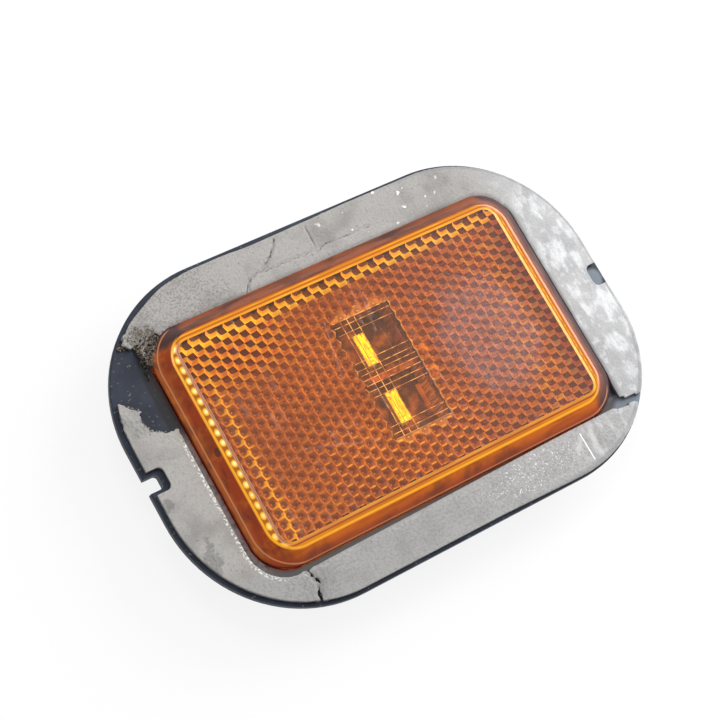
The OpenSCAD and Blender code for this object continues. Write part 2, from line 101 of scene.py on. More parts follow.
class Value:
    # A number, colour or place on its way through a node tree. The usual signs join it with others.
    def __init__(self, tree, socket):
        self.tree = tree
        self.socket = socket

    def __add__(self, other):
        return mathOf("ADD", self, other)

    def __sub__(self, other):
        return mathOf("SUBTRACT", self, other)

    def __rsub__(self, other):
        return mathOf("SUBTRACT", other, self)

    def __mul__(self, other):
        return mathOf("MULTIPLY", self, other)

    def __truediv__(self, other):
        return mathOf("DIVIDE", self, other)

    def __rtruediv__(self, other):
        return mathOf("DIVIDE", other, self)

    def __abs__(self):
        return mathOf("ABSOLUTE", self)


def setInput(tree, socket, value):
    if isinstance(value, Value):
        value = value.socket
    if isinstance(value, bpy.types.NodeSocket):
        tree.links.new(value, socket)
    else:
        socket.default_value = value


def addNode(tree, kind, inputs=None, **settings):
    node = tree.nodes.new(kind)
    for key, value in settings.items():
        setattr(node, key, value)
    for socket, value in (inputs or {}).items():
        setInput(tree, node.inputs[socket], value)
    return node


def valueOf(tree, kind, inputs=None, output=0, **settings):
    return Value(tree, addNode(tree, kind, inputs, **settings).outputs[output])


def treeOf(values):
    return next(value.tree for value in values if isinstance(value, Value))


def connect(value, socket):
    value.tree.links.new(value.socket, socket)


def mathOf(operation, *values):
    return valueOf(treeOf(values), "ShaderNodeMath", dict(enumerate(values)), operation=operation)


def larger(first, *others):
    for other in others:
        first = mathOf("MAXIMUM", first, other)
    return first


def smaller(first, *others):
    for other in others:
        first = mathOf("MINIMUM", first, other)
    return first


def vectorOf(operation, *values):
    output = "Value" if operation in ("DOT_PRODUCT", "LENGTH", "DISTANCE") else "Vector"
    inputs = dict(enumerate(values))
    return valueOf(treeOf(values), "ShaderNodeVectorMath", inputs, output, operation=operation)


def scaled(vector, factor):
    return valueOf(vector.tree, "ShaderNodeVectorMath", {0: vector, "Scale": factor}, operation="SCALE")


def vectorFrom(x, y, z=0.0):
    return valueOf(treeOf((x, y, z)), "ShaderNodeCombineXYZ", {0: x, 1: y, 2: z})


def split(vector):
    node = addNode(vector.tree, "ShaderNodeSeparateXYZ", {0: vector})
    return [Value(vector.tree, part) for part in node.outputs]


def ramp(value, low, high, toLow=0.0, toHigh=1.0):
    return valueOf(value.tree, "ShaderNodeMapRange", {0: value, 1: low, 2: high, 3: toLow, 4: toHigh},
                   interpolation_type="SMOOTHSTEP")


def noiseOf(place, scale, detail):
    return valueOf(place.tree, "ShaderNodeTexNoise", {"Vector": place, "Scale": scale, "Detail": detail})


def bumpOf(height, strength, depth):
    inputs = {"Height": height, "Strength": strength, "Distance": depth * mm}
    return valueOf(height.tree, "ShaderNodeBump", inputs)


def blendColor(share, first, second):
    node = addNode(share.tree, "ShaderNodeMix", {0: share}, data_type="RGBA", blend_type="MIX")
    for index, value in ((6, first), (7, second)):
        setInput(share.tree, node.inputs[index], (*value, 1) if isinstance(value, tuple) else value)
    return Value(share.tree, node.outputs[2])


def makeSky():
    world = bpy.data.worlds.new("studioSky")
    scene.world = world
    world.use_nodes = True
    tree = world.node_tree
    tree.nodes.clear()
    way = valueOf(tree, "ShaderNodeTexCoord", None, "Generated")
    level = ramp(split(way)[2], 0.1, studio["horizonTop"], studio["horizon"], studio["sky"])
    near, far = (math.cos(math.radians(a)) for a in studio["darkWidth"])
    toward = vectorOf("DOT_PRODUCT", way, Vector(studio["darkToward"]).normalized())
    strength = ramp(toward, far, near) * (studio["dark"] - studio["sky"]) + level
    background = addNode(tree, "ShaderNodeBackground", {"Color": (1, 1, 1, 1), "Strength": strength})
    addNode(tree, "ShaderNodeOutputWorld", {"Surface": background.outputs[0]})


def newMaterial(name):
    made = bpy.data.materials.new(name)
    made.use_nodes = True
    made.node_tree.nodes.clear()
    return made, made.node_tree


def objectPlace(tree):
    return valueOf(tree, "ShaderNodeTexCoord", None, "Object")


def finishMaterial(tree, shader, volume=None):
    sockets = {"Surface": shader}
    if volume:
        sockets["Volume"] = volume
    addNode(tree, "ShaderNodeOutputMaterial", sockets)


def makeFloor():
    half = studio["floorSize"] / 2
    mesh = bpy.data.meshes.new("floor")
    corners = [(-half, -half, 0), (half, -half, 0), (half, half, 0), (-half, half, 0)]
    mesh.from_pydata(corners, [], [(0, 1, 2, 3)])
    floor = bpy.data.objects.new("floor", mesh)
    scene.collection.objects.link(floor)
    made, tree = newMaterial("paleFloor")
    level = studio["floorColor"]
    matte = addNode(tree, "ShaderNodeBsdfDiffuse", {"Color": (level, level, level, 1)})
    glow = addNode(tree, "ShaderNodeEmission", {"Color": (1, 1, 1, 1), "Strength": 1.0})
    path = addNode(tree, "ShaderNodeLightPath")
    kinds = ("Is Camera Ray", "Is Glossy Ray", "Is Transmission Ray")
    share = larger(*[Value(tree, path.outputs[kind]) for kind in kinds]) * studio["floorGlow"]
    mix = addNode(tree, "ShaderNodeMixShader", {0: share, 1: matte.outputs[0], 2: glow.outputs[0]})
    finishMaterial(tree, mix.outputs[0])
    mesh.materials.append(made)


makeCamera(cameraView)
for box in softboxes:
    makeSoftbox(*box)
makeSky()
makeFloor()
scene.view_settings.view_transform = "Standard"
scene.cycles.max_bounces = 16
scene.cycles.glossy_bounces = 10
scene.cycles.transmission_bounces = 12
scene.cycles.transparent_max_bounces = 12
print("studio ready")


# Shader groups

def givenValues(tree):
    entry = tree.nodes.new("NodeGroupInput")
    return {socket.name: Value(tree, socket) for socket in entry.outputs if socket.name}


def newGroup(name, inputs, outputs):
    group = bpy.data.node_groups.new(name, "ShaderNodeTree")
    for socket, kind, value in inputs:
        made = group.interface.new_socket(socket, in_out="INPUT", socket_type="NodeSocket" + kind)
        if value is not None:
            made.default_value = value
    for socket in outputs:
        group.interface.new_socket(socket, in_out="OUTPUT", socket_type="NodeSocketFloat")
    return group, givenValues(group), group.nodes.new("NodeGroupOutput").inputs


def makeSpots():
    # Scattered spots: places where a fine noise rises over a level.
    group, given, result = newGroup(
        "spots",
        [("Place", "Vector", None), ("Scale", "Float", 1000.0), ("Level", "Float", 0.6),
         ("Softness", "Float", 0.05), ("Detail", "Float", 3.0)],
        ["Mask"])
    cloud = noiseOf(given["Place"], given["Scale"], given["Detail"])
    connect(ramp(cloud, given["Level"], given["Level"] + given["Softness"]), result["Mask"])
    return group


def makeOutline():
    # Distance outside a rectangle with round corners, lying flat about the middle. It is negative inside.
    group, given, result = newGroup(
        "outline",
        [("Place", "Vector", None), ("Half Size", "Vector", (0.05, 0.03, 0)), ("Corner", "Float", 0.009)],
        ["Distance"])
    flat = vectorOf("MULTIPLY", given["Place"], (1, 1, 0))
    straight = vectorOf("SUBTRACT", given["Half Size"], given["Corner"])
    over = vectorOf("SUBTRACT", vectorOf("ABSOLUTE", flat), straight)
    outside = vectorOf("MAXIMUM", vectorOf("MULTIPLY", over, (1, 1, 0)), (0, 0, 0))
    x, y = split(over)[:2]
    inside = smaller(larger(x, y), 0.0)
    connect(vectorOf("LENGTH", outside) + inside - given["Corner"], result["Distance"])
    return group


def makeStroke():
    # A straight mark from one point to another, seen from above.
    group, given, result = newGroup(
        "stroke",
        [("Place", "Vector", None), ("Start", "Vector", (0, 0, 0)), ("End", "Vector", (0.01, 0, 0)),
         ("Width", "Float", 0.0003)],
        ["Mask"])
    reach = vectorOf("SUBTRACT", given["End"], given["Start"])
    flat = vectorOf("MULTIPLY", given["Place"], (1, 1, 0))
    here = vectorOf("SUBTRACT", flat, given["Start"])
    share = vectorOf("DOT_PRODUCT", here, reach) / vectorOf("DOT_PRODUCT", reach, reach)
    share = valueOf(group, "ShaderNodeClamp", {0: share})
    gap = vectorOf("DISTANCE", here, scaled(reach, share))
    connect(ramp(gap, given["Width"] * 0.5, given["Width"], 1.0, 0.0), result["Mask"])
    return group


def makePatch():
    # A soft round patch at a place, broken up by noise.
    group, given, result = newGroup(
        "patch",
        [("Place", "Vector", None), ("Middle", "Vector", (0, 0, 0)), ("Reach", "Vector", (0.01, 0.01, 1)),
         ("Ragged", "Float", 0.4), ("Scale", "Float", 300.0)],
        ["Mask"])
    here = vectorOf("DIVIDE", vectorOf("SUBTRACT", given["Place"], given["Middle"]), given["Reach"])
    gap = vectorOf("LENGTH", vectorOf("MULTIPLY", here, (1, 1, 0)))
    shift = (noiseOf(given["Place"], given["Scale"], 4.0) - 0.5) * given["Ragged"]
    connect(ramp(gap + shift, 0.65, 1.05, 1.0, 0.0), result["Mask"])
    return group


def makeCells():
    # How far a place is from the middle of the nearest reflector cell, in pitches, and a mask of the short
    # edges between neighbours in a column.
    group, given, result = newGroup(
        "cellPattern", [("Place", "Vector", None), ("Pitch", "Float", 0.0027)], ["Distance", "Edge"])
    x, y = split(scaled(given["Place"], 1.0 / given["Pitch"]))[:2]
    gaps, edges = [], []
    halfX = math.sqrt(3) / 2
    for shiftX, shiftY in ((0.0, 0.0), (halfX, 0.5)):
        u = mathOf("WRAP", x + shiftX, halfX, -halfX)
        v = mathOf("WRAP", y + shiftY, 0.5, -0.5)
        gaps.append(vectorOf("LENGTH", vectorFrom(u, v)))
        edges.append(ramp(abs(v), 0.40, 0.45) * ramp(abs(u), 0.18, 0.28, 1.0, 0.0))
    connect(smaller(*gaps), result["Distance"])
    connect(larger(*edges), result["Edge"])
    return group


def finished(made, tree, inputs):
    shader = addNode(tree, "ShaderNodeBsdfPrincipled", inputs)
    finishMaterial(tree, shader.outputs[0])
    return made


cellPattern = makeCells()
spots = makeSpots()
outline = makeOutline()
stroke = makeStroke()
patch = makePatch()
unlit = (0.0, 0.0, 0.0)


def groupOf(place, group, inputs, output="Mask"):
    # Puts a shader group to work on a place and gives one of its outputs.
    node = addNode(place.tree, "ShaderNodeGroup", node_tree=group)
    for socket, value in {"Place": place, **inputs}.items():
        setInput(place.tree, node.inputs[socket], value)
    return Value(place.tree, node.outputs[output])


def outlineOf(place, shape):
    # This and the next two take their points and sizes in mm.
    halfX, halfY, corner = shape
    inputs = {"Half Size": (halfX * mm, halfY * mm, 0), "Corner": corner * mm}
    return groupOf(place, outline, inputs, "Distance")


def patchAt(place, middle, reach, ragged, scale):
    return groupOf(place, patch, {
        "Middle": (middle[0] * mm, middle[1] * mm, 0), "Reach": (reach[0] * mm, reach[1] * mm, 1),
        "Ragged": ragged, "Scale": scale})


def strokeOf(place, start, end, width):
    return groupOf(place, stroke, {
        "Start": (start[0] * mm, start[1] * mm, 0), "End": (end[0] * mm, end[1] * mm, 0),
        "Width": width * mm})


def spotsOf(place, scale, level, softness, detail):
    return groupOf(place, spots, {"Scale": scale, "Level": level, "Softness": softness, "Detail": detail})


def combine(masks, base):
    # Lays colours over a base colour in turn: each is a mask and a colour.
    for mask, color in masks:
        base = blendColor(mask, base, color)
    return base


def band(value, middle, width):
    # A soft-edged band of a value about its middle.
    return ramp(abs(value - middle), width * 0.3, width * 0.7, 1.0, 0.0)


# The lens

lensShape = {
    "length": 101.4, "width": 62.4, "corner": 9.0,              # mm, at its foot
    "foot": -3.0, "steps": 14,                                 # height of the foot from the flange's top
    "widthShare": 0.825,                                       # the rim is narrower along the long sides
    "outer": [(0, 1.245, 0.6), (3.75, 3.9, 0.45), (5.45, 3.9, 0.2), (5.95, 4.15, 0.25), (6.6, 4.15, 0)],
    "outerCorner": [(0, 9.0), (4, 6.57), (6.3, 2.6), (6.6, 2.4)],
    "tongue": [(1.9, -3.0), (1.9, -3.8), (1.1, -3.8), (1.1, -3.0)],
    "hollow": [(2.6, 2.6, 6.4, -3.0), (2.6, 2.6, 6.4, 0.0), (5.1, 4.0, 3.8, 2.75)],
}
amberLook = {
    "color": (1.0, 0.86, 0.42), "roughness": 0.015, "ior": 1.49,
    "absorb": (1.0, 0.50, 0.03), "density": 190.0, "shadow": (1.0, 0.55, 0.10),
    "dust": (0.72, 0.66, 0.74), "film": 0.010, "filmRight": 0.026, "haze": 0.12,
}
reflector = {
    "pitch": 2.693, "root": 2.75, "cap": 3.45,                  # mm; heights from the flange's top
    "fieldLength": 91.0, "fieldWidth": 54.6, "windowLength": 15.6, "windowWidth": 31.4,
    "litSpots": [                                               # mm: where each lies and how far it reaches
        (10.6, 1.4, 1.5), (10.2, -4.2, 1.3), (-8.9, 1.2, 0.8), (-9.4, 12.2, 0.7), (-8.8, -12.4, 0.8),
    ],
    # These colours paint light and shade into the facets: lit and shaded copies, painted highlights and
    # glints, painted dark reflections and painted glow.
    "litNet": (0.66, 0.47, 0.22), "netDim": (0.50, 0.33, 0.17), "netDark": (0.36, 0.22, 0.11),
    "disc": (0.36, 0.25, 0.19), "glint": (1.0, 0.95, 0.8), "dashHighlight": (0.98, 0.74, 0.30),
    "yellow": (0.90, 0.90, 0.14), "amber": (0.84, 0.52, 0.08), "umberShade": (0.11, 0.06, 0.025),
    "orangeLit": (0.76, 0.51, 0.20), "orangeDim": (0.42, 0.27, 0.14), "orangeGrit": (0.26, 0.19, 0.17),
    "shade": (0.18, 0.125, 0.16), "shadeWarm": (0.55, 0.36, 0.18), "shadeCool": (0.27, 0.26, 0.30),
    "besideRim": (0.95, 1.0, 0.20), "besideEnd": (0.62, 0.49, 0.27), "besideShade": (0.15, 0.14, 0.15),
    "lastColumn": (0.50, 0.58, 0.40), "lit": (0.95, 0.66, 0.16),
    "dashGlow": (0.30, 0.20, 0.02), "rowGlow": (0.26, 0.26, 0.01), "rough": 0.30,
}
# The rim's colours paint the light, shade and reflections seen in the clear plastic: the side colours paint
# each slope lit or shaded, and the line, blob, gold, peach and pink colours are painted highlights and glints
# with painted dark gaps between them.
rimLook = {
    "crown": (46.7, 27.9, 6.57), "face": (44.4, 26.0, 2.6),       # mm: half sizes and corner radius
    "leftOuter": (0.38, 0.085, 0.012), "leftInner": (0.30, 0.035, 0.0), "leftBright": (0.62, 0.17, 0.015),
    "near": (0.58, 0.12, 0.0), "nearOuter": (0.33, 0.045, 0.002),
    "far": (0.24, 0.058, 0.018), "farDark": (0.095, 0.030, 0.020), "cornerShade": (0.040, 0.018, 0.019),
    "right": (0.26, 0.075, 0.03), "rightFoot": (0.06, 0.020, 0.022),
    "stain": (0.05, 0.012, 0.004), "smear": (0.06, 0.018, 0.010),
    "border": (0.52, 0.14, 0.008), "nearBorder": (0.42, 0.10, 0.005), "line": (0.85, 0.36, 0.015),
    "blobGlint": (1.0, 0.84, 0.36), "goldHighlight": (0.95, 0.46, 0.02), "gapShade": (0.34, 0.10, 0.006),
    "peachHighlight": (0.62, 0.24, 0.10), "pinkHighlight": (0.60, 0.29, 0.19), "shadow": (1.0, 0.88, 0.55),
}
rimPatches = {                                          # mm: middle and reach, then raggedness and grain
    "shadedCorner": ((-46.6, 29.8), (7.0, 3.8), 0.5, 300.0),
    "blotch": ((-47.7, -0.3), (0.7, 1.3), 0.7, 700.0),
}
ridgeLook = {"pale": (0.80, 0.62, 0.36), "deep": (0.40, 0.20, 0.08), "glow": 0.6}
facePatches = {                                         # mm: middle and reach, then raggedness and grain
    "haze": ((27.0, -3.0), (15.0, 17.0), 0.9, 110.0),
}
scratches = [                                                   # mm on the face: where each starts and ends
    ((1.5, 24.0), (-1.0, 12.0)), ((2.6, 21.0), (1.2, 9.5)), ((-9.5, 16.5), (-12.5, 2.5)),
    ((3.6, 19.5), (2.2, 13.0)), ((13.0, 11.0), (22.0, -6.0)), ((18.0, 6.0), (30.0, 0.5)),
    ((-30.0, -8.0), (-12.0, -14.0)), ((24.0, 16.0), (33.0, 9.0)), ((9.5, -4.0), (12.0, -19.0)),
]
windowLines = {                                                 # mm: where the ridges lie, reach and drop to
    "along": (-5.5, -3.65, -1.6), "alongReach": 16.2,
    "across": (15.4, 14.1, 12.15, 4.5, 2.7, 1.35, 0.0, -1.4, -2.85, -4.5, -12.4, -14.2, -15.5),
    "acrossReach": 7.6, "ends": (16.45, -16.45), "endWidth": 1.9, "endReach": 7.7, "endDrop": 0.6,
    "top": 0.17, "bottom": 0.10, "drop": 0.18,
}


def meshObject(name, points, faces):
    mesh = bpy.data.meshes.new(name)
    mesh.from_pydata(points, [], faces)
    made = bpy.data.objects.new(name, mesh)
    scene.collection.objects.link(made)
    return made


def roundedLine(corners, steps):
    # Points of a line whose inner corners are rounded: each corner is (inset, height, radius).
    points = []
    for i, (x, z, r) in enumerate(corners):
        here = Vector((x, z))
        if r == 0 or i in (0, len(corners) - 1) and i != 0:
            points.append(here)
            continue
        before = Vector(corners[i - 1][:2])
        after = Vector(corners[i + 1][:2])
        a = here + (before - here).normalized() * r
        b = here + (after - here).normalized() * r
        for k in range(steps + 1):
            t = k / steps
            points.append(a * (1 - t) ** 2 + here * 2 * t * (1 - t) + b * t * t)
    return points


def ringPoints(halfX, halfY, radius, z):
    points = []
    for corner in range(4):
        sideX = 1 if corner in (0, 3) else -1
        sideY = 1 if corner < 2 else -1
        for i in range(lensShape["steps"] + 1):
            a = math.radians(90 * (corner + i / lensShape["steps"]))
            points.append(((sideX * (halfX - radius) + radius * math.cos(a)) * mm,
                           (sideY * (halfY - radius) + radius * math.sin(a)) * mm, deck + z * mm))
    return points


def lensBody():
    s = lensShape
    halfX, halfY = s["length"] / 2, s["width"] / 2
    cornersX = [c[0] for c in s["outerCorner"]]
    cornersR = [c[1] for c in s["outerCorner"]]
    rings = []
    for inset, z in s["tongue"]:
        rings.append(ringPoints(halfX - inset, halfY - inset, s["corner"] - inset, z))
    rings.append(ringPoints(halfX, halfY, s["corner"], s["foot"]))
    first = (0, s["foot"], 0)
    for p in roundedLine([first] + s["outer"], 6)[1:]:
        radius = float(np.interp(p.x, cornersX, cornersR))
        rings.append(ringPoints(halfX - p.x, halfY - p.x * s["widthShare"], radius, p.y))
    under = [ringPoints(halfX - x, halfY - y, r, z) for x, y, r, z in s["hollow"]]
    rings = under[::-1] + rings
    n = len(rings[0])
    faces = [list(range(n))]
    for k in range(len(rings) - 1):
        for i in range(n):
            j = (i + 1) % n
            faces.append([k * n + i, (k + 1) * n + i, (k + 1) * n + j, k * n + j])
    faces.append([(len(rings) - 1) * n + i for i in range(n)][::-1])
    return meshObject("lensBody", [p for r in rings for p in r], faces)


def cellTile():
    # One corner of a cube seen from above, for a pitch of 1: a low tip and a rim that climbs in turn.
    stepX, stepY, level = 1 / (2 * math.sqrt(3)), 0.5, 1 / math.sqrt(6)
    rim = [(2, 0), (1, 1), (-1, 1), (-2, 0), (-1, -1), (1, -1)]
    points = [(0, 0, -2 * level)] + [(x * stepX, y * stepY, -level if k % 2 == 0 else 0)
                                     for k, (x, y) in enumerate(rim)]
    tile = meshObject("cellTile", points, [(0, 1 + k, 2 + k, 1 + (k + 2) % 6) for k in (0, 2, 4)])
    tile.hide_render = True
    return tile


def reflectorTree(tile):
    tree = bpy.data.node_groups.new("reflectorField", "GeometryNodeTree")
    face = tree.interface
    face.new_socket("Geometry", in_out="INPUT", socket_type="NodeSocketGeometry")
    for name in ("Pitch", "Field Length", "Field Width", "Window Length", "Window Width"):
        face.new_socket(name, in_out="INPUT", socket_type="NodeSocketFloat")
    face.new_socket("Material", in_out="INPUT", socket_type="NodeSocketMaterial")
    face.new_socket("Geometry", in_out="OUTPUT", socket_type="NodeSocketGeometry")
    given = givenValues(tree)
    stepX = given["Pitch"] / (2 * math.sqrt(3))
    stepY = given["Pitch"] / 2.0
    columns = mathOf("CEIL", given["Field Length"] / (stepX * 12.0))
    rows = mathOf("CEIL", given["Field Width"] / (stepY * 4.0))
    grid = addNode(tree, "GeometryNodeMeshGrid", {
        "Size X": columns * stepX * 12.0, "Size Y": rows * stepY * 4.0,
        "Vertices X": columns * 2.0 + 1.0, "Vertices Y": rows * 2.0 + 1.0}).outputs["Mesh"]
    shift = vectorFrom(stepX * 3.0, stepY)
    between = addNode(tree, "GeometryNodeTransform", {"Geometry": grid, "Translation": shift}).outputs[0]
    both = addNode(tree, "GeometryNodeJoinGeometry")
    tree.links.new(grid, both.inputs[0])
    tree.links.new(between, both.inputs[0])
    place = valueOf(tree, "GeometryNodeInputPosition")
    x, y = (abs(part) for part in split(place)[:2])
    past = larger(mathOf("GREATER_THAN", x, given["Field Length"] * 0.5 - stepX),
                  mathOf("GREATER_THAN", y, given["Field Width"] * 0.5 - stepY * 0.5))
    window = smaller(mathOf("LESS_THAN", x, given["Window Length"] * 0.5 + stepX),
                     mathOf("LESS_THAN", y, given["Window Width"] * 0.5 + stepY * 0.5))
    drop = addNode(tree, "GeometryNodeDeleteGeometry",
                   {"Geometry": both.outputs[0], "Selection": larger(past, window)}, domain="POINT")
    shape = addNode(tree, "GeometryNodeObjectInfo", {"Object": tile})
    copies = addNode(tree, "GeometryNodeInstanceOnPoints",
                     {"Points": drop.outputs[0], "Instance": shape.outputs["Geometry"]})
    connect(vectorFrom(given["Pitch"], given["Pitch"], given["Pitch"]), copies.inputs["Scale"])
    whole = addNode(tree, "GeometryNodeRealizeInstances", {"Geometry": copies.outputs[0]})
    joined = addNode(tree, "GeometryNodeMergeByDistance",
                     {"Geometry": whole.outputs[0], "Distance": 0.02 * mm})
    coated = addNode(tree, "GeometryNodeSetMaterial",
                     {"Geometry": joined.outputs[0], "Material": given["Material"]})
    leave = tree.nodes.new("NodeGroupOutput")
    tree.links.new(coated.outputs[0], leave.inputs[0])
    return tree


def runTree(piece, tree, values):
    # Sets a tree's named inputs on a modifier, takes the result as a plain mesh and removes the modifier.
    modifier = piece.modifiers.new(tree.name, "NODES")
    modifier.node_group = tree
    for item in tree.interface.items_tree:
        if item.in_out == "INPUT" and item.name in values:
            modifier[item.identifier] = values[item.name]
    bpy.context.view_layer.update()
    seen = piece.evaluated_get(bpy.context.evaluated_depsgraph_get())
    mesh = bpy.data.meshes.new_from_object(seen)
    piece.modifiers.remove(modifier)
    old = piece.data
    piece.data = mesh
    bpy.data.meshes.remove(old)


def reflectorCells(material):
    tile = cellTile()
    field = meshObject("reflectorCells", [(0, 0, 0)], [])
    runTree(field, reflectorTree(tile), {
        "Pitch": reflector["pitch"] * mm, "Field Length": reflector["fieldLength"] * mm,
        "Field Width": reflector["fieldWidth"] * mm, "Window Length": reflector["windowLength"] * mm,
        "Window Width": reflector["windowWidth"] * mm, "Material": material})
    bpy.data.objects.remove(tile)
    work = bmesh.new()
    work.from_mesh(field.data)
    bmesh.ops.translate(work, verts=work.verts, vec=(0, 0, deck + reflector["root"] * mm))
    rim = [e for e in work.edges if e.is_boundary]
    grown = bmesh.ops.extrude_edge_only(work, edges=rim)["geom"]
    for v in grown:
        if isinstance(v, bmesh.types.BMVert):
            v.co.z = deck + reflector["cap"] * mm
    top = [e for e in grown if isinstance(e, bmesh.types.BMEdge) and e.is_boundary]
    bmesh.ops.triangle_fill(work, edges=top, use_beauty=True)
    bmesh.ops.recalc_face_normals(work, faces=work.faces)
    work.to_mesh(field.data)
    work.free()
    print("reflector cells:", len(field.data.polygons), "faces")
    return field


def ridge(start, end, across, widths, drop):
    # A tapered ridge under the window, from one point to another.
    root, tip = reflector["root"] + 0.3, reflector["root"] - drop
    points = []
    for p in (start, end):
        for half, z in ((widths[0] / 2, root), (widths[1] / 2, tip)):
            for side in (-1, 1):
                points.append(((p[0] + across[0] * side * half) * mm, (p[1] + across[1] * side * half) * mm,
                               deck + z * mm))
    return points, [(0, 1, 3, 2), (4, 6, 7, 5), (0, 4, 5, 1), (2, 3, 7, 6), (0, 2, 6, 4), (1, 5, 7, 3)]


def windowRidges():
    s = windowLines
    lines = [((x, -s["alongReach"]), (x, s["alongReach"]), (1, 0)) for x in s["along"]]
    lines += [((-s["acrossReach"], y), (s["acrossReach"], y), (0, 1)) for y in s["across"]]
    thin = (s["top"], s["bottom"])
    lines = [(*line, thin, s["drop"]) for line in lines]
    wide = (s["endWidth"], s["endWidth"])
    lines += [((-s["endReach"], y), (s["endReach"], y), (0, 1), wide, s["endDrop"]) for y in s["ends"]]
    made = []
    for line in lines:
        points, faces = ridge(*line)
        piece = meshObject("windowRidge", points, faces)
        fixNormals(piece)
        made.append(piece)
    return made


def fixNormals(piece):
    work = bmesh.new()
    work.from_mesh(piece.data)
    bmesh.ops.remove_doubles(work, verts=work.verts, dist=0.001 * mm)
    bmesh.ops.recalc_face_normals(work, faces=work.faces)
    work.to_mesh(piece.data)
    work.free()


def joinSolids(base, tools, operation="UNION"):
    for tool in tools:
        modifier = base.modifiers.new("join", "BOOLEAN")
        modifier.operation = operation
        modifier.solver = "MANIFOLD"
        modifier.object = tool
    bpy.context.view_layer.update()
    seen = base.evaluated_get(bpy.context.evaluated_depsgraph_get())
    mesh = bpy.data.meshes.new_from_object(seen)
    base.modifiers.clear()
    base.data = mesh
    for tool in tools:
        bpy.data.objects.remove(tool)


def smoothBelow(piece, degrees):
    # Smooth shading, with every edge sharper than this left sharp.
    work = bmesh.new()
    work.from_mesh(piece.data)
    limit = math.radians(degrees)
    for face in work.faces:
        face.smooth = True
    for edge in work.edges:
        edge.smooth = len(edge.link_faces) == 2 and edge.calc_face_angle() < limit
    work.to_mesh(piece.data)
    work.free()


def tintShadow(tree, shader, color):
    # Clear plastic throws a coloured shadow.
    clear = addNode(tree, "ShaderNodeBsdfTransparent", {"Color": (*color, 1)})
    shadow = addNode(tree, "ShaderNodeLightPath").outputs["Is Shadow Ray"]
    return addNode(tree, "ShaderNodeMixShader", {0: shadow, 1: shader.outputs[0], 2: clear.outputs[0]})


def amberMaterial():
    look = amberLook
    made, tree = newMaterial("amberAcrylic")
    place = objectPlace(tree)
    haze = patchAt(place, *facePatches["haze"])
    wisps = spotsOf(place, 1300.0, 0.4, 0.3, 6.0) * 0.7 + 0.3
    rightSide = ramp(split(place)[0], -0.01, 0.03)
    rough = haze * wisps * 0.15 + look["roughness"]
    rough = rightSide * 0.07 + rough
    bump = bumpOf(noiseOf(place, 90.0, 2.0), 0.25, 0.03)
    glass = addNode(tree, "ShaderNodeBsdfPrincipled",
                    {"Base Color": (*look["color"], 1), "Roughness": rough, "IOR": look["ior"],
                     "Transmission Weight": 1.0, "Normal": bump})
    mix = tintShadow(tree, glass, look["shadow"])
    scuffs = spotsOf(vectorOf("MULTIPLY", place, (1.0, 0.06, 1.0)), 1500.0, 0.66, 0.05, 2.0)
    film = rightSide * look["filmRight"] + look["film"]
    film = haze * wisps * look["haze"] + film
    film = scuffs * 0.8 * look["haze"] + film
    for start, end in scratches:
        mark = strokeOf(place, start, end, 0.13)
        film = larger(film, mark * (wisps * 0.33))
    dust = addNode(tree, "ShaderNodeBsdfDiffuse", {"Color": (*look["dust"], 1)})
    mix = addNode(tree, "ShaderNodeMixShader", {0: film, 1: mix.outputs[0], 2: dust.outputs[0]})
    absorb = addNode(tree, "ShaderNodeVolumeAbsorption",
                     {"Color": (*look["absorb"], 1), "Density": look["density"]})
    finishMaterial(tree, mix.outputs[0], absorb.outputs[0])
    return made


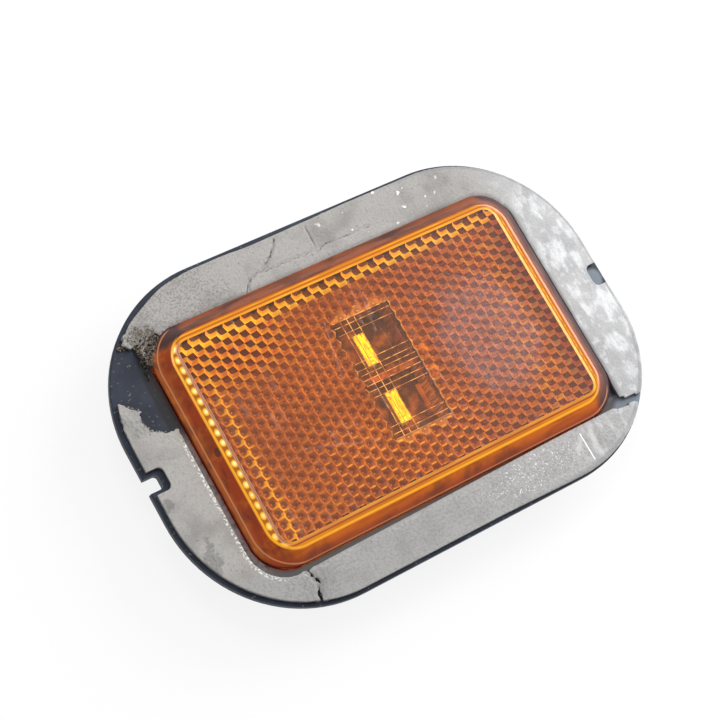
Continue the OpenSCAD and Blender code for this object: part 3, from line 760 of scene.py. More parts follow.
def rimMaterial():
    # The thick rim and border: deep amber with its light and shade painted in, each side painted lit or
    # shaded and the reflector's cells and edges painted as bright glints and highlight lines.
    look = rimLook
    made, tree = newMaterial("amberRimPaintedLight")
    place = objectPlace(tree)
    x, y = split(place)[:2]
    crown = outlineOf(place, look["crown"])
    face = outlineOf(place, look["face"])
    cloud = noiseOf(place, 210.0, 4.0)
    along = vectorOf("MULTIPLY", place, (0.14, 1.0, 1.0))
    streak = noiseOf(along, 600.0, 4.0)
    left = ramp(x, -0.045, -0.0425, 1.0, 0.0)
    right = ramp(x, 0.0425, 0.045)
    far = ramp(y, 0.0255, 0.0275)
    near = ramp(y, -0.0275, -0.0255, 1.0, 0.0)
    # Painted light and shade on the slopes: each side has its own lit or shaded colour, with painted shade
    # towards the foot on the right.
    outer = ramp(cloud * 0.0012 + crown, 0.0024, 0.0038)
    leftColor = blendColor(outer, look["leftInner"], look["leftOuter"])
    farColor = blendColor(ramp(streak, 0.44, 0.66), look["far"], look["farDark"])
    low = ramp(cloud * 0.0012 + crown, 0.0014, 0.0034)
    drift = noiseOf(place, 330.0, 5.0)
    leftColor = blendColor(ramp(drift, 0.48, 0.68, 0.0, 0.3), leftColor, look["leftBright"])
    nearColor = blendColor(low, look["near"], look["nearOuter"])
    nearColor = blendColor(ramp(streak, 0.5, 0.62, 0.0, 0.5), nearColor, look["nearOuter"])
    slope = blendColor(near, leftColor, nearColor)
    slope = blendColor(far * ramp(x, -0.05, -0.045), slope, farColor)
    # A painted shaded corner at the far left of the rim.
    corner = patchAt(place, *rimPatches["shadedCorner"])
    slope = blendColor(corner * 0.9, slope, look["cornerShade"])
    rightColor = blendColor(ramp(crown, 0.0002, 0.003), look["right"], look["rightFoot"])
    slope = blendColor(right, slope, rightColor)
    slope = blendColor(ramp(cloud, 0.45, 0.7) * 0.45, slope, look["stain"])
    blotch = patchAt(place, *rimPatches["blotch"])
    across = vectorOf("MULTIPLY", place, (1.0, 0.25, 1.0))
    smear = noiseOf(across, 900.0, 4.0)
    smear = ramp(smear, 0.52, 0.68, 0.0, 0.5) * left
    slope = blendColor(larger(blotch * 0.8, smear), slope, look["smear"])
    # The border paints the light through the cells' ends: painted glint blobs with painted dark gaps at the
    # left, painted highlight lines on the other sides.
    step = mathOf("FRACT", (y + 0.1) / (reflector["pitch"] * mm))
    beat = (step - 0.5) * (reflector["pitch"] * mm)
    beside = (face - 0.0012) * 1.25
    away = vectorFrom(beat, beside)
    shaken = streak * 0.0007 + vectorOf("LENGTH", away)
    glintCore = ramp(shaken, 0.0007, 0.001, 1.0, 0.0)
    beat = ramp(shaken, 0.00105, 0.0015, 1.0, 0.0)
    row = band(face, 0.0012, 0.002)
    glintBlobs = row * left * beat
    gaps = row * left * (1.0 - beat)
    notLeft = 1.0 - left
    # Painted highlight lines along the border, weaker on the near side.
    lines = larger(band(face, 0.0004, 0.0006), band(face, 0.0014, 0.0004))
    lines = lines * notLeft * ramp(streak, 0.36, 0.6, 0.35, 1.0)
    glintBlobColor = blendColor(glintCore * ramp(y, -0.03, 0.0, 0.4, 1.0), look["goldHighlight"], look["blobGlint"])
    lines = lines * (1.0 - near * 0.5)
    # Painted highlights on the crown's edge and the face's edges, and painted light and dark lines along the
    # right and near borders.
    edge = band(crown, 0.0001, 0.0006)
    faceEdgeHighlights = larger(band(face, 0.0001, 0.0003), band(face, 0.0006, 0.0003))
    faceEdgeHighlights = faceEdgeHighlights * larger(left, near * 0.6)
    rightHighlightLine = right * band(face, 0.0004, 0.001)
    darkShadeLine = larger(right * band(face, 0.0013, 0.0003), near * band(face, 0.0009, 0.0003))
    border = blendColor(near, look["border"], look["nearBorder"])
    inner = combine([(rightHighlightLine, look["goldHighlight"]), (darkShadeLine * 0.8, look["leftInner"]),
                     (ramp(streak, 0.4, 0.7) * 0.4, look["leftInner"]), (gaps, look["gapShade"]),
                     (glintBlobs, glintBlobColor), (lines, look["line"]), (faceEdgeHighlights, look["pinkHighlight"])], border)
    color = blendColor(ramp(crown, -0.0002, 0.0002), inner, slope)
    color = blendColor(edge * right, color, look["peachHighlight"])
    color = blendColor(edge * larger(left, near), color, look["line"])
    bump = bumpOf(cloud, 0.3, 0.05)
    # A painted highlight along the outer edge on the left and near sides.
    outerEdgeHighlight = band(crown, 0.0031, 0.0003) * larger(left, near)
    color = blendColor(outerEdgeHighlight * 0.75, color, look["peachHighlight"])
    shader = addNode(tree, "ShaderNodeBsdfPrincipled",
                     {"Base Color": color, "Roughness": 0.12, "IOR": 1.38, "Normal": bump})
    mix = tintShadow(tree, shader, look["shadow"])
    finishMaterial(tree, mix.outputs[0])
    return made


def backingMaterial():
    # The cells' facets, seen from inside the plastic, with light and shade painted in: a painted lit net
    # round painted dark reflections in the middles, tiny painted glints, lit and shaded copies of the facet
    # colours and a painted glow.
    look = reflector
    made, tree = newMaterial("cellFacetsPaintedLight")
    place = objectPlace(tree)
    x, y = split(place)[:2]
    cells = {"Pitch": look["pitch"] * mm}
    gap = groupOf(place, cellPattern, cells, "Distance")
    edge = groupOf(place, cellPattern, cells, "Edge")
    cloud = noiseOf(place, 70.0, 3.0)
    mottle = noiseOf(place, 900.0, 3.0)
    normal = valueOf(tree, "ShaderNodeNewGeometry", None, "True Normal")
    turn = split(normal)
    facing = turn[0] * turn[1]
    dim = mathOf("GREATER_THAN", facing, 0.1)            # the facets that turn from the light
    bright = 1.0 - dim
    shift = cloud * 0.02 - 0.01
    westerly = x + shift
    upperLeft = ramp(westerly, -0.03, -0.004, 1.0, 0.0) * ramp(y, 0.006, 0.018)
    leftBorder = band(x, -0.0408, 0.003) * 0.95
    yellowish = larger(upperLeft, ramp(y, 0.0215, 0.0245, 0.0, 0.8))
    easterly = ramp(westerly, -0.004, 0.016) * 0.85
    flat = larger(yellowish, easterly)
    # Each cell's middle holds a painted dark reflection, faded where the facets are painted lit and shaded
    # instead.
    disc = ramp(mottle * 0.1 + gap, 0.3, 0.42, 1.0, 0.0)
    disc = disc * (1.0 - flat * 0.92)
    # The net between the middles is painted lit, dimmer and darker at random.
    litNet = blendColor(ramp(cloud, 0.35, 0.7), look["litNet"], look["netDim"])
    litNet = blendColor(ramp(mottle, 0.45, 0.7), litNet, look["netDark"])
    patchy = noiseOf(place, 430.0, 1.0)
    along = mathOf("GREATER_THAN", abs(turn[0]), 0.6)
    spark = larger(ramp(patchy, 0.45, 0.62), along * 0.7)
    goldHighlight = blendColor(spark, look["amber"], look["yellow"])
    orangeLit = blendColor(ramp(patchy, 0.38, 0.62, 0.0, 0.8), look["orangeLit"], look["orangeDim"])
    gritty = noiseOf(place, 1900.0, 2.0)
    orangeLit = blendColor(ramp(gritty, 0.52, 0.6, 0.0, 0.8), orangeLit, look["orangeGrit"])
    # Painted yellow glints on the lit facets near the right border.
    atBorder = ramp(x, 0.026, 0.036) * ramp(patchy, 0.52, 0.6)
    orangeLit = blendColor(atBorder * 0.8, orangeLit, look["yellow"])
    shade = blendColor(ramp(gritty, 0.53, 0.62, 0.0, 0.75), look["shade"], look["shadeWarm"])
    shade = blendColor(ramp(gritty, 0.34, 0.44, 0.6, 0.0), shade, look["shadeCool"])
    # Near the far rim and the right end the facets are painted greener and bluer to offset the reddened light
    # that reaches them through the thick rim.
    beside = larger(ramp(y, 0.0215, 0.0245), ramp(x, 0.039, 0.041))
    goldHighlight = blendColor(beside, goldHighlight, look["besideRim"])
    orangeLit = blendColor(beside, orangeLit, look["besideEnd"])
    orangeLit = blendColor(ramp(x, 0.0412, 0.042), orangeLit, look["lastColumn"])
    # Painted highlight dashes along the cells' short edges in the near rows.
    nearRows = ramp(y, -0.019, 0.002, 1.0, 0.0) * ramp(x, 0.008, 0.024, 1.0, 0.2)
    nearRows = nearRows * ramp(x, -0.036, -0.02, 0.2, 1.0)
    highlightDashes = edge * nearRows * ramp(mottle, 0.32, 0.5, 0.3, 1.0)
    shade = blendColor(ramp(x, 0.0375, 0.0395), shade, look["besideShade"])
    # Painted light and shade: the left border column and the facets facing the light are painted lit, those
    # turned away are painted shaded, with painted dark reflections, glints and highlight dashes.
    tint = combine([(leftBorder * bright, look["yellow"]), (easterly * bright, orangeLit),
                    (easterly * dim, shade), (yellowish * bright, goldHighlight), (yellowish * dim, look["umberShade"]),
                    (disc, look["disc"]), (ramp(gap, 0.045, 0.085, 0.85, 0.0), look["glint"]),
                    (highlightDashes, look["dashHighlight"])], litNet)
    for spot in look["litSpots"]:
        lit = patchAt(place, (spot[0], spot[1]), (spot[2], spot[2]), 0.9, 500.0)
        tint = blendColor(lit * ramp(mottle, 0.35, 0.5, 0.3, 0.9), tint, look["lit"])
    # Painted glow: the far row, the highlight dashes and the left border column emit light, though they are
    # no lamp.
    farRow = ramp(y, 0.0225, 0.024) * bright
    glow = blendColor(farRow, unlit, look["rowGlow"])
    glow = blendColor(highlightDashes, glow, look["dashGlow"])
    columnGlow = leftBorder * bright * ramp(gap, 0.32, 0.44, 0.0, 0.4)
    glow = blendColor(columnGlow, glow, look["dashGlow"])
    return finished(made, tree, {
        "Base Color": tint, "Roughness": look["rough"], "Emission Color": glow, "Emission Strength": 1.0})


def glowingRidgeMaterial():
    # The thin ridges of the window glow with painted light, as bright lines where they catch the light.
    made, tree = newMaterial("paintedGlowRidges")
    place = objectPlace(tree)
    cloud = noiseOf(place, 700.0, 3.0)
    tint = blendColor(ramp(cloud, 0.4, 0.6), ridgeLook["pale"], ridgeLook["deep"])
    return finished(made, tree, {
        "Base Color": tint, "Roughness": 0.4, "Emission Color": tint, "Emission Strength": ridgeLook["glow"]})


faceZones = {"window": (7.9, 17.5), "windowWalls": (9.6, 17.8), "ridges": 15.5}        # mm from the middle


def sortFaces(lens):
    # Clear plastic on the face and underside, the rim with its painted light and shade, the cells' facets and
    # the ridges that glow with painted light.
    halfX, halfY, corner = rimLook["face"]
    root = deck + reflector["root"] * mm
    tilt = 1 / math.sqrt(3)
    windowX, windowY = (reach * mm for reach in faceZones["window"])
    wallsX, wallsY = (reach * mm for reach in faceZones["windowWalls"])
    ridgesY = faceZones["ridges"] * mm
    for face in lens.data.polygons:
        c, n = face.center, face.normal
        overX, overY = abs(c.x) / mm - halfX + corner, abs(c.y) / mm - halfY + corner
        outside = math.hypot(max(overX, 0), max(overY, 0)) + min(max(overX, overY), 0) - corner
        inWindow = abs(c.x) < windowX and abs(c.y) < windowY and abs(abs(n.z) - tilt) > 0.02
        if n.z > 0.05 and c.z > deck + 1 * mm and outside > -0.02 and c.z > root:
            face.material_index = 1
        elif n.z > 0.05 and c.z > deck - 1 * mm and outside > 1.0:
            face.material_index = 1
        elif c.z < root and abs(abs(n.z) - tilt) < 0.02 and n.z < 0 and not inWindow:
            face.material_index = 2
        elif inWindow and c.z < root - 0.02 * mm and c.z > root - 1 * mm:
            face.material_index = 3 if abs(c.y) < ridgesY or c.z > root - 0.4 * mm else 2
        elif abs(n.z) < 0.1 and abs(c.x) < wallsX and abs(c.y) < wallsY and c.z < root + 0.6 * mm:
            face.material_index = 3
        elif outside > 6 and c.z > deck - 1 * mm:
            face.material_index = 1


def makeLens():
    amber = amberMaterial()
    lens = lensBody()
    fixNormals(lens)
    joinSolids(lens, [reflectorCells(amber)] + windowRidges())
    smoothBelow(lens, 24)
    lens.data.materials.clear()
    for material in (amber, rimMaterial(), backingMaterial(), glowingRidgeMaterial()):
        lens.data.materials.append(material)
    sortFaces(lens)
    lens.name = "lensMoulding"
    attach(lens, "root")
    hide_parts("lens")
    print("lens:", len(lens.data.polygons), "faces")


makeLens()


# The foam tape

foamLook = {
    "light": (0.375, 0.36, 0.345), "dark": (0.24, 0.23, 0.215), "side": (0.06, 0.056, 0.056),
    "white": (0.84, 0.85, 0.86), "dirt": (0.07, 0.055, 0.05), "crack": (0.02, 0.018, 0.017),
    "sand": (0.16, 0.14, 0.125), "smudge": (0.12, 0.12, 0.115), "skirt": (0.25, 0.25, 0.26),
    "rightEnd": (0.50, 0.50, 0.51), "endShade": (0.41, 0.41, 0.42), "endPale": (0.66, 0.67, 0.69),
    "nearLeft": (0.31, 0.315, 0.315), "nearRight": (0.42, 0.425, 0.435), "nearDark": (0.20, 0.20, 0.205),
}
foamShape = {
    "voxel": 0.24, "grain": 0.035, "grainSize": 0.7, "swell": 0.06, "swellSize": 7.0,
    "raggedReach": 0.6, "raggedSize": 1.3, "drawn": 0.42, "spread": 0.45,
    "outer": (64.1, 42.1, 32.7), "hole": (52.4, 32.9, 9.5),            # mm: half sizes and corner radius
    "hug": 0.7, "farHug": 0.95, "cornerHug": 0.4,
    "nearHug": ((-48, -36, -15, 30, 47, 55), (0.0, 0.35, 0.6, 1.3, 1.35, 0.5)),
}
foamPatches = {                                         # mm: middle and reach, then raggedness and grain
    "farSand": ((-43.0, 36.0), (22.0, 12.0), 0.7, 150.0),
    "nearSand": ((-43.0, -37.0), (8.0, 7.0), 0.9, 200.0),
    "lowSmudge": ((-60.4, -21.4), (2.4, 5.0), 2.4, 420.0),
    "highSmudge": ((-63.0, -5.8), (1.5, 1.8), 2.0, 700.0),
    "rightGlueSheen": ((61.0, 3.0), (11.0, 36.0), 0.8, 160.0),
    "nearGlueSheen": ((45.0, -37.0), (14.0, 6.0), 0.8, 200.0),
    "specks": ((20.0, 38.0), (22.0, 7.0), 0.5, 100.0),
    "sparkle": ((20.0, -36.5), (16.0, 5.0), 0.6, 150.0),
}
tearPlaces = [                                                     # mm: middle and reach of the torn edges
    (-59.5, 14.5, 5.5), (-53, 9, 4.5), (-52.5, 29, 6), (-41.4, -36.6, 4.6),
]
grooves = [                                                         # mm: points, width, depth
    ([(-8.9, 40.4), (-11.6, 37.3), (-15.2, 34.9), (-19.6, 33.8), (-21.4, 31.4)], 0.45, 0.5),
    ([(-0.2, 40.5), (-0.4, 35)], 0.35, 0.25),
    ([(-14.6, 34.4), (0, 34.3), (15, 34.5)], 0.5, 0.18),
    ([(-42, -32.7), (-40.8, -36.6), (-42.3, -40.5)], 1.1, 0.35),
    ([(-60, 4), (-56, 2.6), (-53, 2.9)], 0.4, 0.12),
]


def solidCopy(name, nodeName):
    piece = bpy.data.objects.new(name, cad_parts[nodeName].data.copy())
    scene.collection.objects.link(piece)
    piece.data.materials.clear()
    work = bmesh.new()
    work.from_mesh(piece.data)
    bmesh.ops.remove_doubles(work, verts=work.verts, dist=0.002 * mm)
    work.to_mesh(piece.data)
    work.free()
    return piece


def takeModifiers(piece):
    bpy.context.view_layer.update()
    seen = piece.evaluated_get(bpy.context.evaluated_depsgraph_get())
    mesh = bpy.data.meshes.new_from_object(seen)
    piece.modifiers.clear()
    piece.data = mesh


def lineDistance(points, line):
    best = np.full(len(points), 1e9)
    for a, b in zip(line[:-1], line[1:]):
        a, b = np.array(a), np.array(b)
        reach = b - a
        t = np.clip(((points - a) @ reach) / (reach @ reach), 0, 1)
        best = np.minimum(best, np.linalg.norm(points - a - t[:, None] * reach, axis=1))
    return best


def wearFoam(piece, seed):
    # Uneven skin, ragged torn edges and pressed grooves, worked on the points of the fine mesh.
    s = foamShape
    mesh = piece.data
    count = len(mesh.vertices)
    place = np.zeros(count * 3)
    mesh.vertices.foreach_get("co", place)
    place = place.reshape(-1, 3) / mm
    normal = np.zeros(count * 3)
    mesh.vertices.foreach_get("normal", normal)
    normal = normal.reshape(-1, 3)
    top = np.clip((place[:, 2] - (tapeTop / mm - 0.35)) / 0.3, 0, 1)
    grain = np.array([noise.noise(Vector(p) / s["grainSize"] + Vector((seed, 0, 0))) for p in place])
    swell = np.array([noise.noise(Vector(p) / s["swellSize"] + Vector((0, seed, 0))) for p in place])
    ragged = np.array([noise.fractal(Vector(p) / s["raggedSize"], 0.8, 2.1, 3) for p in place])
    torn = np.zeros(count)
    for x, y, reach in tearPlaces:
        gap = np.linalg.norm(place[:, :2] - (x, y), axis=1)
        torn = np.maximum(torn, np.clip((reach - gap) / 1.5, 0, 1))
    push = s["grain"] * grain + s["grain"] * 2.5 * torn * grain
    side = np.linalg.norm(normal[:, :2], axis=1) > 0.5
    push = push + side * torn * s["raggedReach"] * ragged
    # The far left edge has drawn back from the flange's rim; the inner edges reach close to the lens.
    halfX, halfY, corner = s["outer"]
    over = np.abs(place[:, :2]) - (halfX, halfY) + corner
    outwards = np.maximum(over, 0.001) * np.sign(place[:, :2])
    reach = np.linalg.norm(outwards, axis=1)
    rim = reach - corner
    drawn = np.clip((place[:, 1] + 5) / 15, 0, 1) * np.clip((12 - place[:, 0]) / 20, 0, 1)
    drawn = drawn * np.clip(rim / 3 + 1, 0, 1) * s["drawn"] * (1 + 0.8 * swell)
    place[:, :2] -= outwards * (drawn / reach)[:, None]
    spread = (rim > -1.2) * np.clip((place[:, 0] - 8) / 20, 0, 1) * np.clip((-4 - place[:, 1]) / 10, 0, 1)
    place += normal * push[:, None]
    flat = normal[:, :2] / np.maximum(np.linalg.norm(normal[:, :2], axis=1), 0.001)[:, None]
    wall = np.clip((np.linalg.norm(normal[:, :2], axis=1) - 0.2) / 0.2, 0, 1)
    halfX, halfY, corner = s["hole"]
    over = np.abs(place[:, :2]) - (halfX, halfY) + corner
    hole = np.linalg.norm(np.maximum(over, 0), axis=1) + np.minimum(over.max(axis=1), 0) - corner
    farSide = (place[:, 1] > 10) & (place[:, 0] > -46) | (place[:, 0] > 40) & (place[:, 1] > -30)
    nearSide = (place[:, 1] < -31.5) & (place[:, 1] > -34.2) & (normal[:, 1] > 0.2)
    inCorner = np.clip(over.min(axis=1) / 3, 0, 1)
    closing = np.where(place[:, 0] > 46, s["hug"], s["farHug"]) + s["cornerHug"] * inCorner
    shift = closing * (farSide & (np.abs(hole) < 1.3))
    shift = shift + spread * s["spread"] + nearSide * np.interp(place[:, 0], s["nearHug"][0], s["nearHug"][1])
    place[:, :2] += flat * (wall * shift)[:, None]
    place[:, 2] += top * (s["swell"] * (swell - 0.5) - torn * 0.18 * np.abs(ragged))
    for line, width, depth in grooves:
        wobble = place[:, :2] + 0.25 * np.stack([ragged, -ragged], axis=1)
        gap = lineDistance(wobble, line)
        place[:, 2] -= top * depth * np.clip(1 - gap / width, 0, 1)
    mesh.vertices.foreach_set("co", (place * mm).ravel())
    mesh.update()


def foamMaterial():
    look = foamLook
    made, tree = newMaterial("greyFoam")
    place = objectPlace(tree)
    broad = noiseOf(place, 120.0, 5.0)
    fine = noiseOf(place, 1500.0, 4.0)
    color = blendColor(ramp(broad, 0.42, 0.75), look["light"], look["dark"])
    sandy = larger(patchAt(place, *foamPatches["farSand"]),
                   patchAt(place, *foamPatches["nearSand"]))
    sand = spotsOf(place, 1900.0, 0.48, 0.14, 3.0)
    color = blendColor(sandy * sand * 0.55, color, look["sand"])
    pits = spotsOf(place, 1300.0, 0.66, 0.05, 3.0)
    color = blendColor(pits * 0.55, color, look["dirt"])
    x, y = split(place)[:2]
    color = blendColor(ramp(fine, 0.48, 0.72, 0.0, 0.5), color, look["dark"])
    # The right end is painted paler, a painted sheen on its glossy top.
    pale = ramp(broad * 0.02 + x, 0.052, 0.068) * 0.9
    smudge = larger(patchAt(place, *foamPatches["lowSmudge"]),
                    patchAt(place, *foamPatches["highSmudge"]))
    color = blendColor(smudge * ramp(fine, 0.3, 0.6, 0.35, 0.6), color, look["smudge"])
    endGrey = blendColor(ramp(broad, 0.4, 0.62), look["rightEnd"], look["endShade"])
    grit = noiseOf(place, 480.0, 5.0)
    endGrey = blendColor(ramp(grit, 0.52, 0.66, 0.0, 0.7), endGrey, look["endPale"])
    nearStrip = blendColor(ramp(x, -0.02, 0.03), look["nearLeft"], look["nearRight"])
    nearStrip = blendColor(ramp(fine, 0.4, 0.66, 0.0, 0.6), nearStrip, look["nearDark"])
    color = blendColor(ramp(y, -0.031, -0.027, 0.55, 0.0), color, nearStrip)
    color = blendColor(pale, color, endGrey)
    inner = outlineOf(place, foamShape["hole"])
    glints = spotsOf(place, 1700.0, 0.5, 0.08, 4.0)
    edgeGlint = band(inner, 0.0004, 0.0011) * glints
    edgeGlint = edgeGlint * (ramp(x, -0.05, -0.046, 1.0, 0.15) * ramp(y, 0.004, 0.0075, 1.0, 0.0))
    # Dark strokes along the grooves paint the shade inside the cracks and the step line.
    wobble = fine * 0.0005 - 0.0014 + noiseOf(place, 420.0, 2.0) * 0.0022
    shaken = vectorOf("ADD", place, vectorFrom(wobble, wobble))
    cracks = 0.0
    for line, _, depth in grooves[:3]:
        for start, end in zip(line[:-1], line[1:]):
            mark = strokeOf(shaken, start, end, 0.1 + depth * 0.25)
            cracks = larger(cracks, mark)
    broken = spotsOf(place, 650.0, 0.4, 0.15, 3.0)
    cracks = cracks * broken * 0.6
    color = blendColor(cracks, color, look["crack"])
    # Glossy glue residue at the right end and on the near strip, its white a painted sheen; with painted
    # glints along the inner edge, specks and sparkle, and a white scratch.
    end = patchAt(place, *foamPatches["rightGlueSheen"])
    nearEnd = patchAt(place, *foamPatches["nearGlueSheen"])
    streaks = vectorOf("MULTIPLY", place, (1.0, 0.45, 1.0))
    glueSheen = spotsOf(streaks, 430.0, 0.47, 0.2, 9.0)
    shiny = larger(end, nearEnd * 0.7) * glueSheen
    shiny = larger(shiny * 0.55, edgeGlint * 0.7)
    specks = spotsOf(place, 520.0, 0.7, 0.03, 1.0)
    upper = patchAt(place, *foamPatches["specks"])
    shiny = larger(shiny, specks * upper)
    sparkle = spotsOf(place, 2300.0, 0.62, 0.05, 2.0)
    sparklePatch = patchAt(place, *foamPatches["sparkle"])
    shiny = larger(shiny, sparkle * sparklePatch * 0.8)
    scratch = strokeOf(place, (35.7, -33.5), (35.8, -40.4), 0.22)
    shiny = larger(shiny, scratch)
    color = blendColor(shiny, color, look["white"])
    skirt = band(outlineOf(place, foamShape["outer"]), -0.0002, 0.0009)
    skirt = skirt * ramp(x, 0.015, 0.035) * 0.6
    color = blendColor(skirt, color, look["skirt"])
    # The foam's walls are painted near black as painted shade, darker than its top.
    up = split(valueOf(tree, "ShaderNodeNewGeometry", None, "Normal"))[2]
    wall = ramp(up, 0.25, 0.75, 1.0, 0.0)
    color = blendColor(wall * 0.85, color, look["side"])
    rough = 0.72 - shiny * 0.42
    height = fine * 0.6 + sand * 0.5
    bump = bumpOf(height, 0.5, 0.12)
    return finished(made, tree, {"Base Color": color, "Roughness": rough, "Normal": bump})


def makeTape(material):
    for seed, side in enumerate(("left", "lower", "upper")):
        piece = solidCopy("foam" + side.capitalize(), "tape_" + side)
        remesh = piece.modifiers.new("fine", "REMESH")
        remesh.mode = "VOXEL"
        remesh.voxel_size = foamShape["voxel"] * mm * 1
        remesh.use_smooth_shade = True
        takeModifiers(piece)
        wearFoam(piece, seed * 7.3)
        piece.data.materials.append(material)
        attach(piece, "root")
        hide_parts("tape_" + side)
        print("tape", side, len(piece.data.polygons), "faces")


foam = foamMaterial()
makeTape(foam)


# Crumbs and fibres at the torn edges

crumbPlaces = {                                                    # mm: outline, height, crumbs and sizes
    "tornCrumbs": {"outline": [(-51.5, 30.9), (-48.8, 31.5), (-46.4, 30.4), (-47.9, 27.8), (-48.9, 24.6),
                               (-51.2, 23.9), (-51.9, 27.4)],
                   "height": 0.95, "density": 15.0, "size": (0.25, 0.8), "look": "dark", "seed": 3},
    "tornLow": {"outline": [(-52.4, 30.6), (-50.5, 30.0), (-50.2, 24.9), (-52.6, 22.0), (-52.2, 26.4)],
                "height": 0.3, "density": 12.0, "size": (0.25, 0.8), "look": "dark", "seed": 4},
    "tornTip": {"outline": [(-56.0, 31.6), (-51.8, 32.0), (-51.4, 30.4), (-55.2, 30.7)],
                "height": 0.35, "density": 11.0, "size": (0.2, 0.65), "look": "tan", "seed": 8},
    "tornTop": {"outline": [(-54.8, 32.6), (-49.5, 34.6), (-46.5, 33.6), (-46.8, 31.4), (-51.3, 31.3)],
                "height": 1.22, "density": 5.0, "size": (0.12, 0.4), "look": "tan", "seed": 9},
    "nearCrumbs": {"outline": [(-62.3, 19.9), (-58.2, 16.5), (-59.1, 14.0), (-58.0, 11.3), (-55.0, 9.5),
                               (-55.2, 8.9), (-58.7, 10.5), (-60.2, 13.9), (-60.0, 16.0)],
                   "height": 1.0, "density": 9.0, "size": (0.15, 0.5), "look": "foam", "seed": 5},
}
fibrePlaces = {
    "tornFibres": {"outline": [(-52.6, 31.4), (-50.0, 34.4), (-45.8, 32.6), (-47.2, 28.2), (-48.9, 24.8),
                               (-51.6, 24.8)],
                   "height": 1.25, "density": 5.0, "size": (1.0, 2.6), "look": "fibre", "seed": 11},
    "nearFibres": {"outline": crumbPlaces["nearCrumbs"]["outline"],
                   "height": 1.15, "density": 1.6, "size": (0.5, 1.3), "look": "fibre", "seed": 12},
}
crumbLooks = {                                                     # colours, each pair mixed by noise
    "dark": ((0.010, 0.009, 0.009), (0.07, 0.055, 0.045)), "tan": ((0.05, 0.035, 0.028), (0.30, 0.24, 0.17)),
    "foam": ((0.26, 0.24, 0.22), (0.44, 0.42, 0.39)), "fibre": ((0.13, 0.10, 0.08), (0.48, 0.40, 0.30)),
}


def crumbShape():
    work = bmesh.new()
    bmesh.ops.create_icosphere(work, subdivisions=1, radius=0.5)
    for v in work.verts:
        v.co *= 1 + 0.55 * noise.noise(v.co * 2.3)
        v.co.z *= 0.7
    mesh = bpy.data.meshes.new("crumbShape")
    work.to_mesh(mesh)
    work.free()
    made = bpy.data.objects.new("crumbShape", mesh)
    scene.collection.objects.link(made)
    return made


def fibreShape():
    # A thin bent hair of three sides, one unit long.
    rings, thick, points, faces = 7, 0.022, [], []
    for k in range(rings):
        t = k / (rings - 1)
        middle = Vector((t - 0.5, 0.22 * math.sin(2.6 * t), 0.16 * math.sin(math.pi * t)))
        for side in range(3):
            a = 2 * math.pi * side / 3
            points.append(middle + Vector((0, math.cos(a), math.sin(a))) * thick * (1.1 - t))
    for k in range(rings - 1):
        for i in range(3):
            j = (i + 1) % 3
            faces.append((3 * k + i, 3 * k + j, 3 * k + 3 + j, 3 * k + 3 + i))
    faces += [(2, 1, 0), tuple(3 * (rings - 1) + i for i in range(3))]
    return meshObject("fibreShape", points, faces)


def scatterTree():
    # Scatters copies of a small shape over a surface, each with its own turn and size.
    tree = bpy.data.node_groups.new("scatteredBits", "GeometryNodeTree")
    face = tree.interface
    face.new_socket("Geometry", in_out="INPUT", socket_type="NodeSocketGeometry")
    face.new_socket("Shape", in_out="INPUT", socket_type="NodeSocketObject")
    for name in ("Density", "Smallest", "Largest", "Tilt"):
        face.new_socket(name, in_out="INPUT", socket_type="NodeSocketFloat")
    face.new_socket("Seed", in_out="INPUT", socket_type="NodeSocketInt")
    face.new_socket("Material", in_out="INPUT", socket_type="NodeSocketMaterial")
    face.new_socket("Geometry", in_out="OUTPUT", socket_type="NodeSocketGeometry")
    given = givenValues(tree)
    points = addNode(tree, "GeometryNodeDistributePointsOnFaces",
                     {"Mesh": given["Geometry"], "Density": given["Density"], "Seed": given["Seed"]})
    least = vectorFrom(given["Tilt"] * -1.0, given["Tilt"] * -1.0)
    most = vectorFrom(given["Tilt"], given["Tilt"], 2 * math.pi)
    turn = addNode(tree, "FunctionNodeRandomValue", {0: least, 1: most, "Seed": given["Seed"]},
                   data_type="FLOAT_VECTOR")
    size = addNode(tree, "FunctionNodeRandomValue",
                   {2: given["Smallest"], 3: given["Largest"], "Seed": given["Seed"]}, data_type="FLOAT")
    shape = addNode(tree, "GeometryNodeObjectInfo", {"Object": given["Shape"]})
    copies = addNode(tree, "GeometryNodeInstanceOnPoints", {
        "Points": points.outputs[0], "Instance": shape.outputs["Geometry"], "Rotation": turn.outputs[0],
        "Scale": size.outputs[1]})
    whole = addNode(tree, "GeometryNodeRealizeInstances", {"Geometry": copies.outputs[0]})
    coated = addNode(tree, "GeometryNodeSetMaterial",
                     {"Geometry": whole.outputs[0], "Material": given["Material"]})
    leave = tree.nodes.new("NodeGroupOutput")
    tree.links.new(coated.outputs[0], leave.inputs[0])
    return tree


def makeBits(name, values, tree, shape, tilt):
    z = deck + values["height"] * mm
    piece = meshObject(name, [(x * mm, y * mm, z) for x, y in values["outline"]],
                       [range(len(values["outline"]))])
    least, most = values["size"]
    first, second = crumbLooks[values["look"]]
    material = plainSolid(name + "Look", first, second, 1400.0, 0.8)
    runTree(piece, tree, {
        "Shape": shape, "Density": values["density"] / mm ** 2, "Smallest": least * mm, "Largest": most * mm,
        "Tilt": tilt, "Seed": values["seed"], "Material": material})
    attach(piece, "root")
    print(name, len(piece.data.polygons), "faces")


def makeTornBits():
    tree = scatterTree()
    crumb, fibre = crumbShape(), fibreShape()
    for name, values in crumbPlaces.items():
        makeBits(name, values, tree, crumb, 3.0)
    for name, values in fibrePlaces.items():
        makeBits(name, values, tree, fibre, 0.5)
    bpy.data.objects.remove(crumb)
    bpy.data.objects.remove(fibre)


# The housing

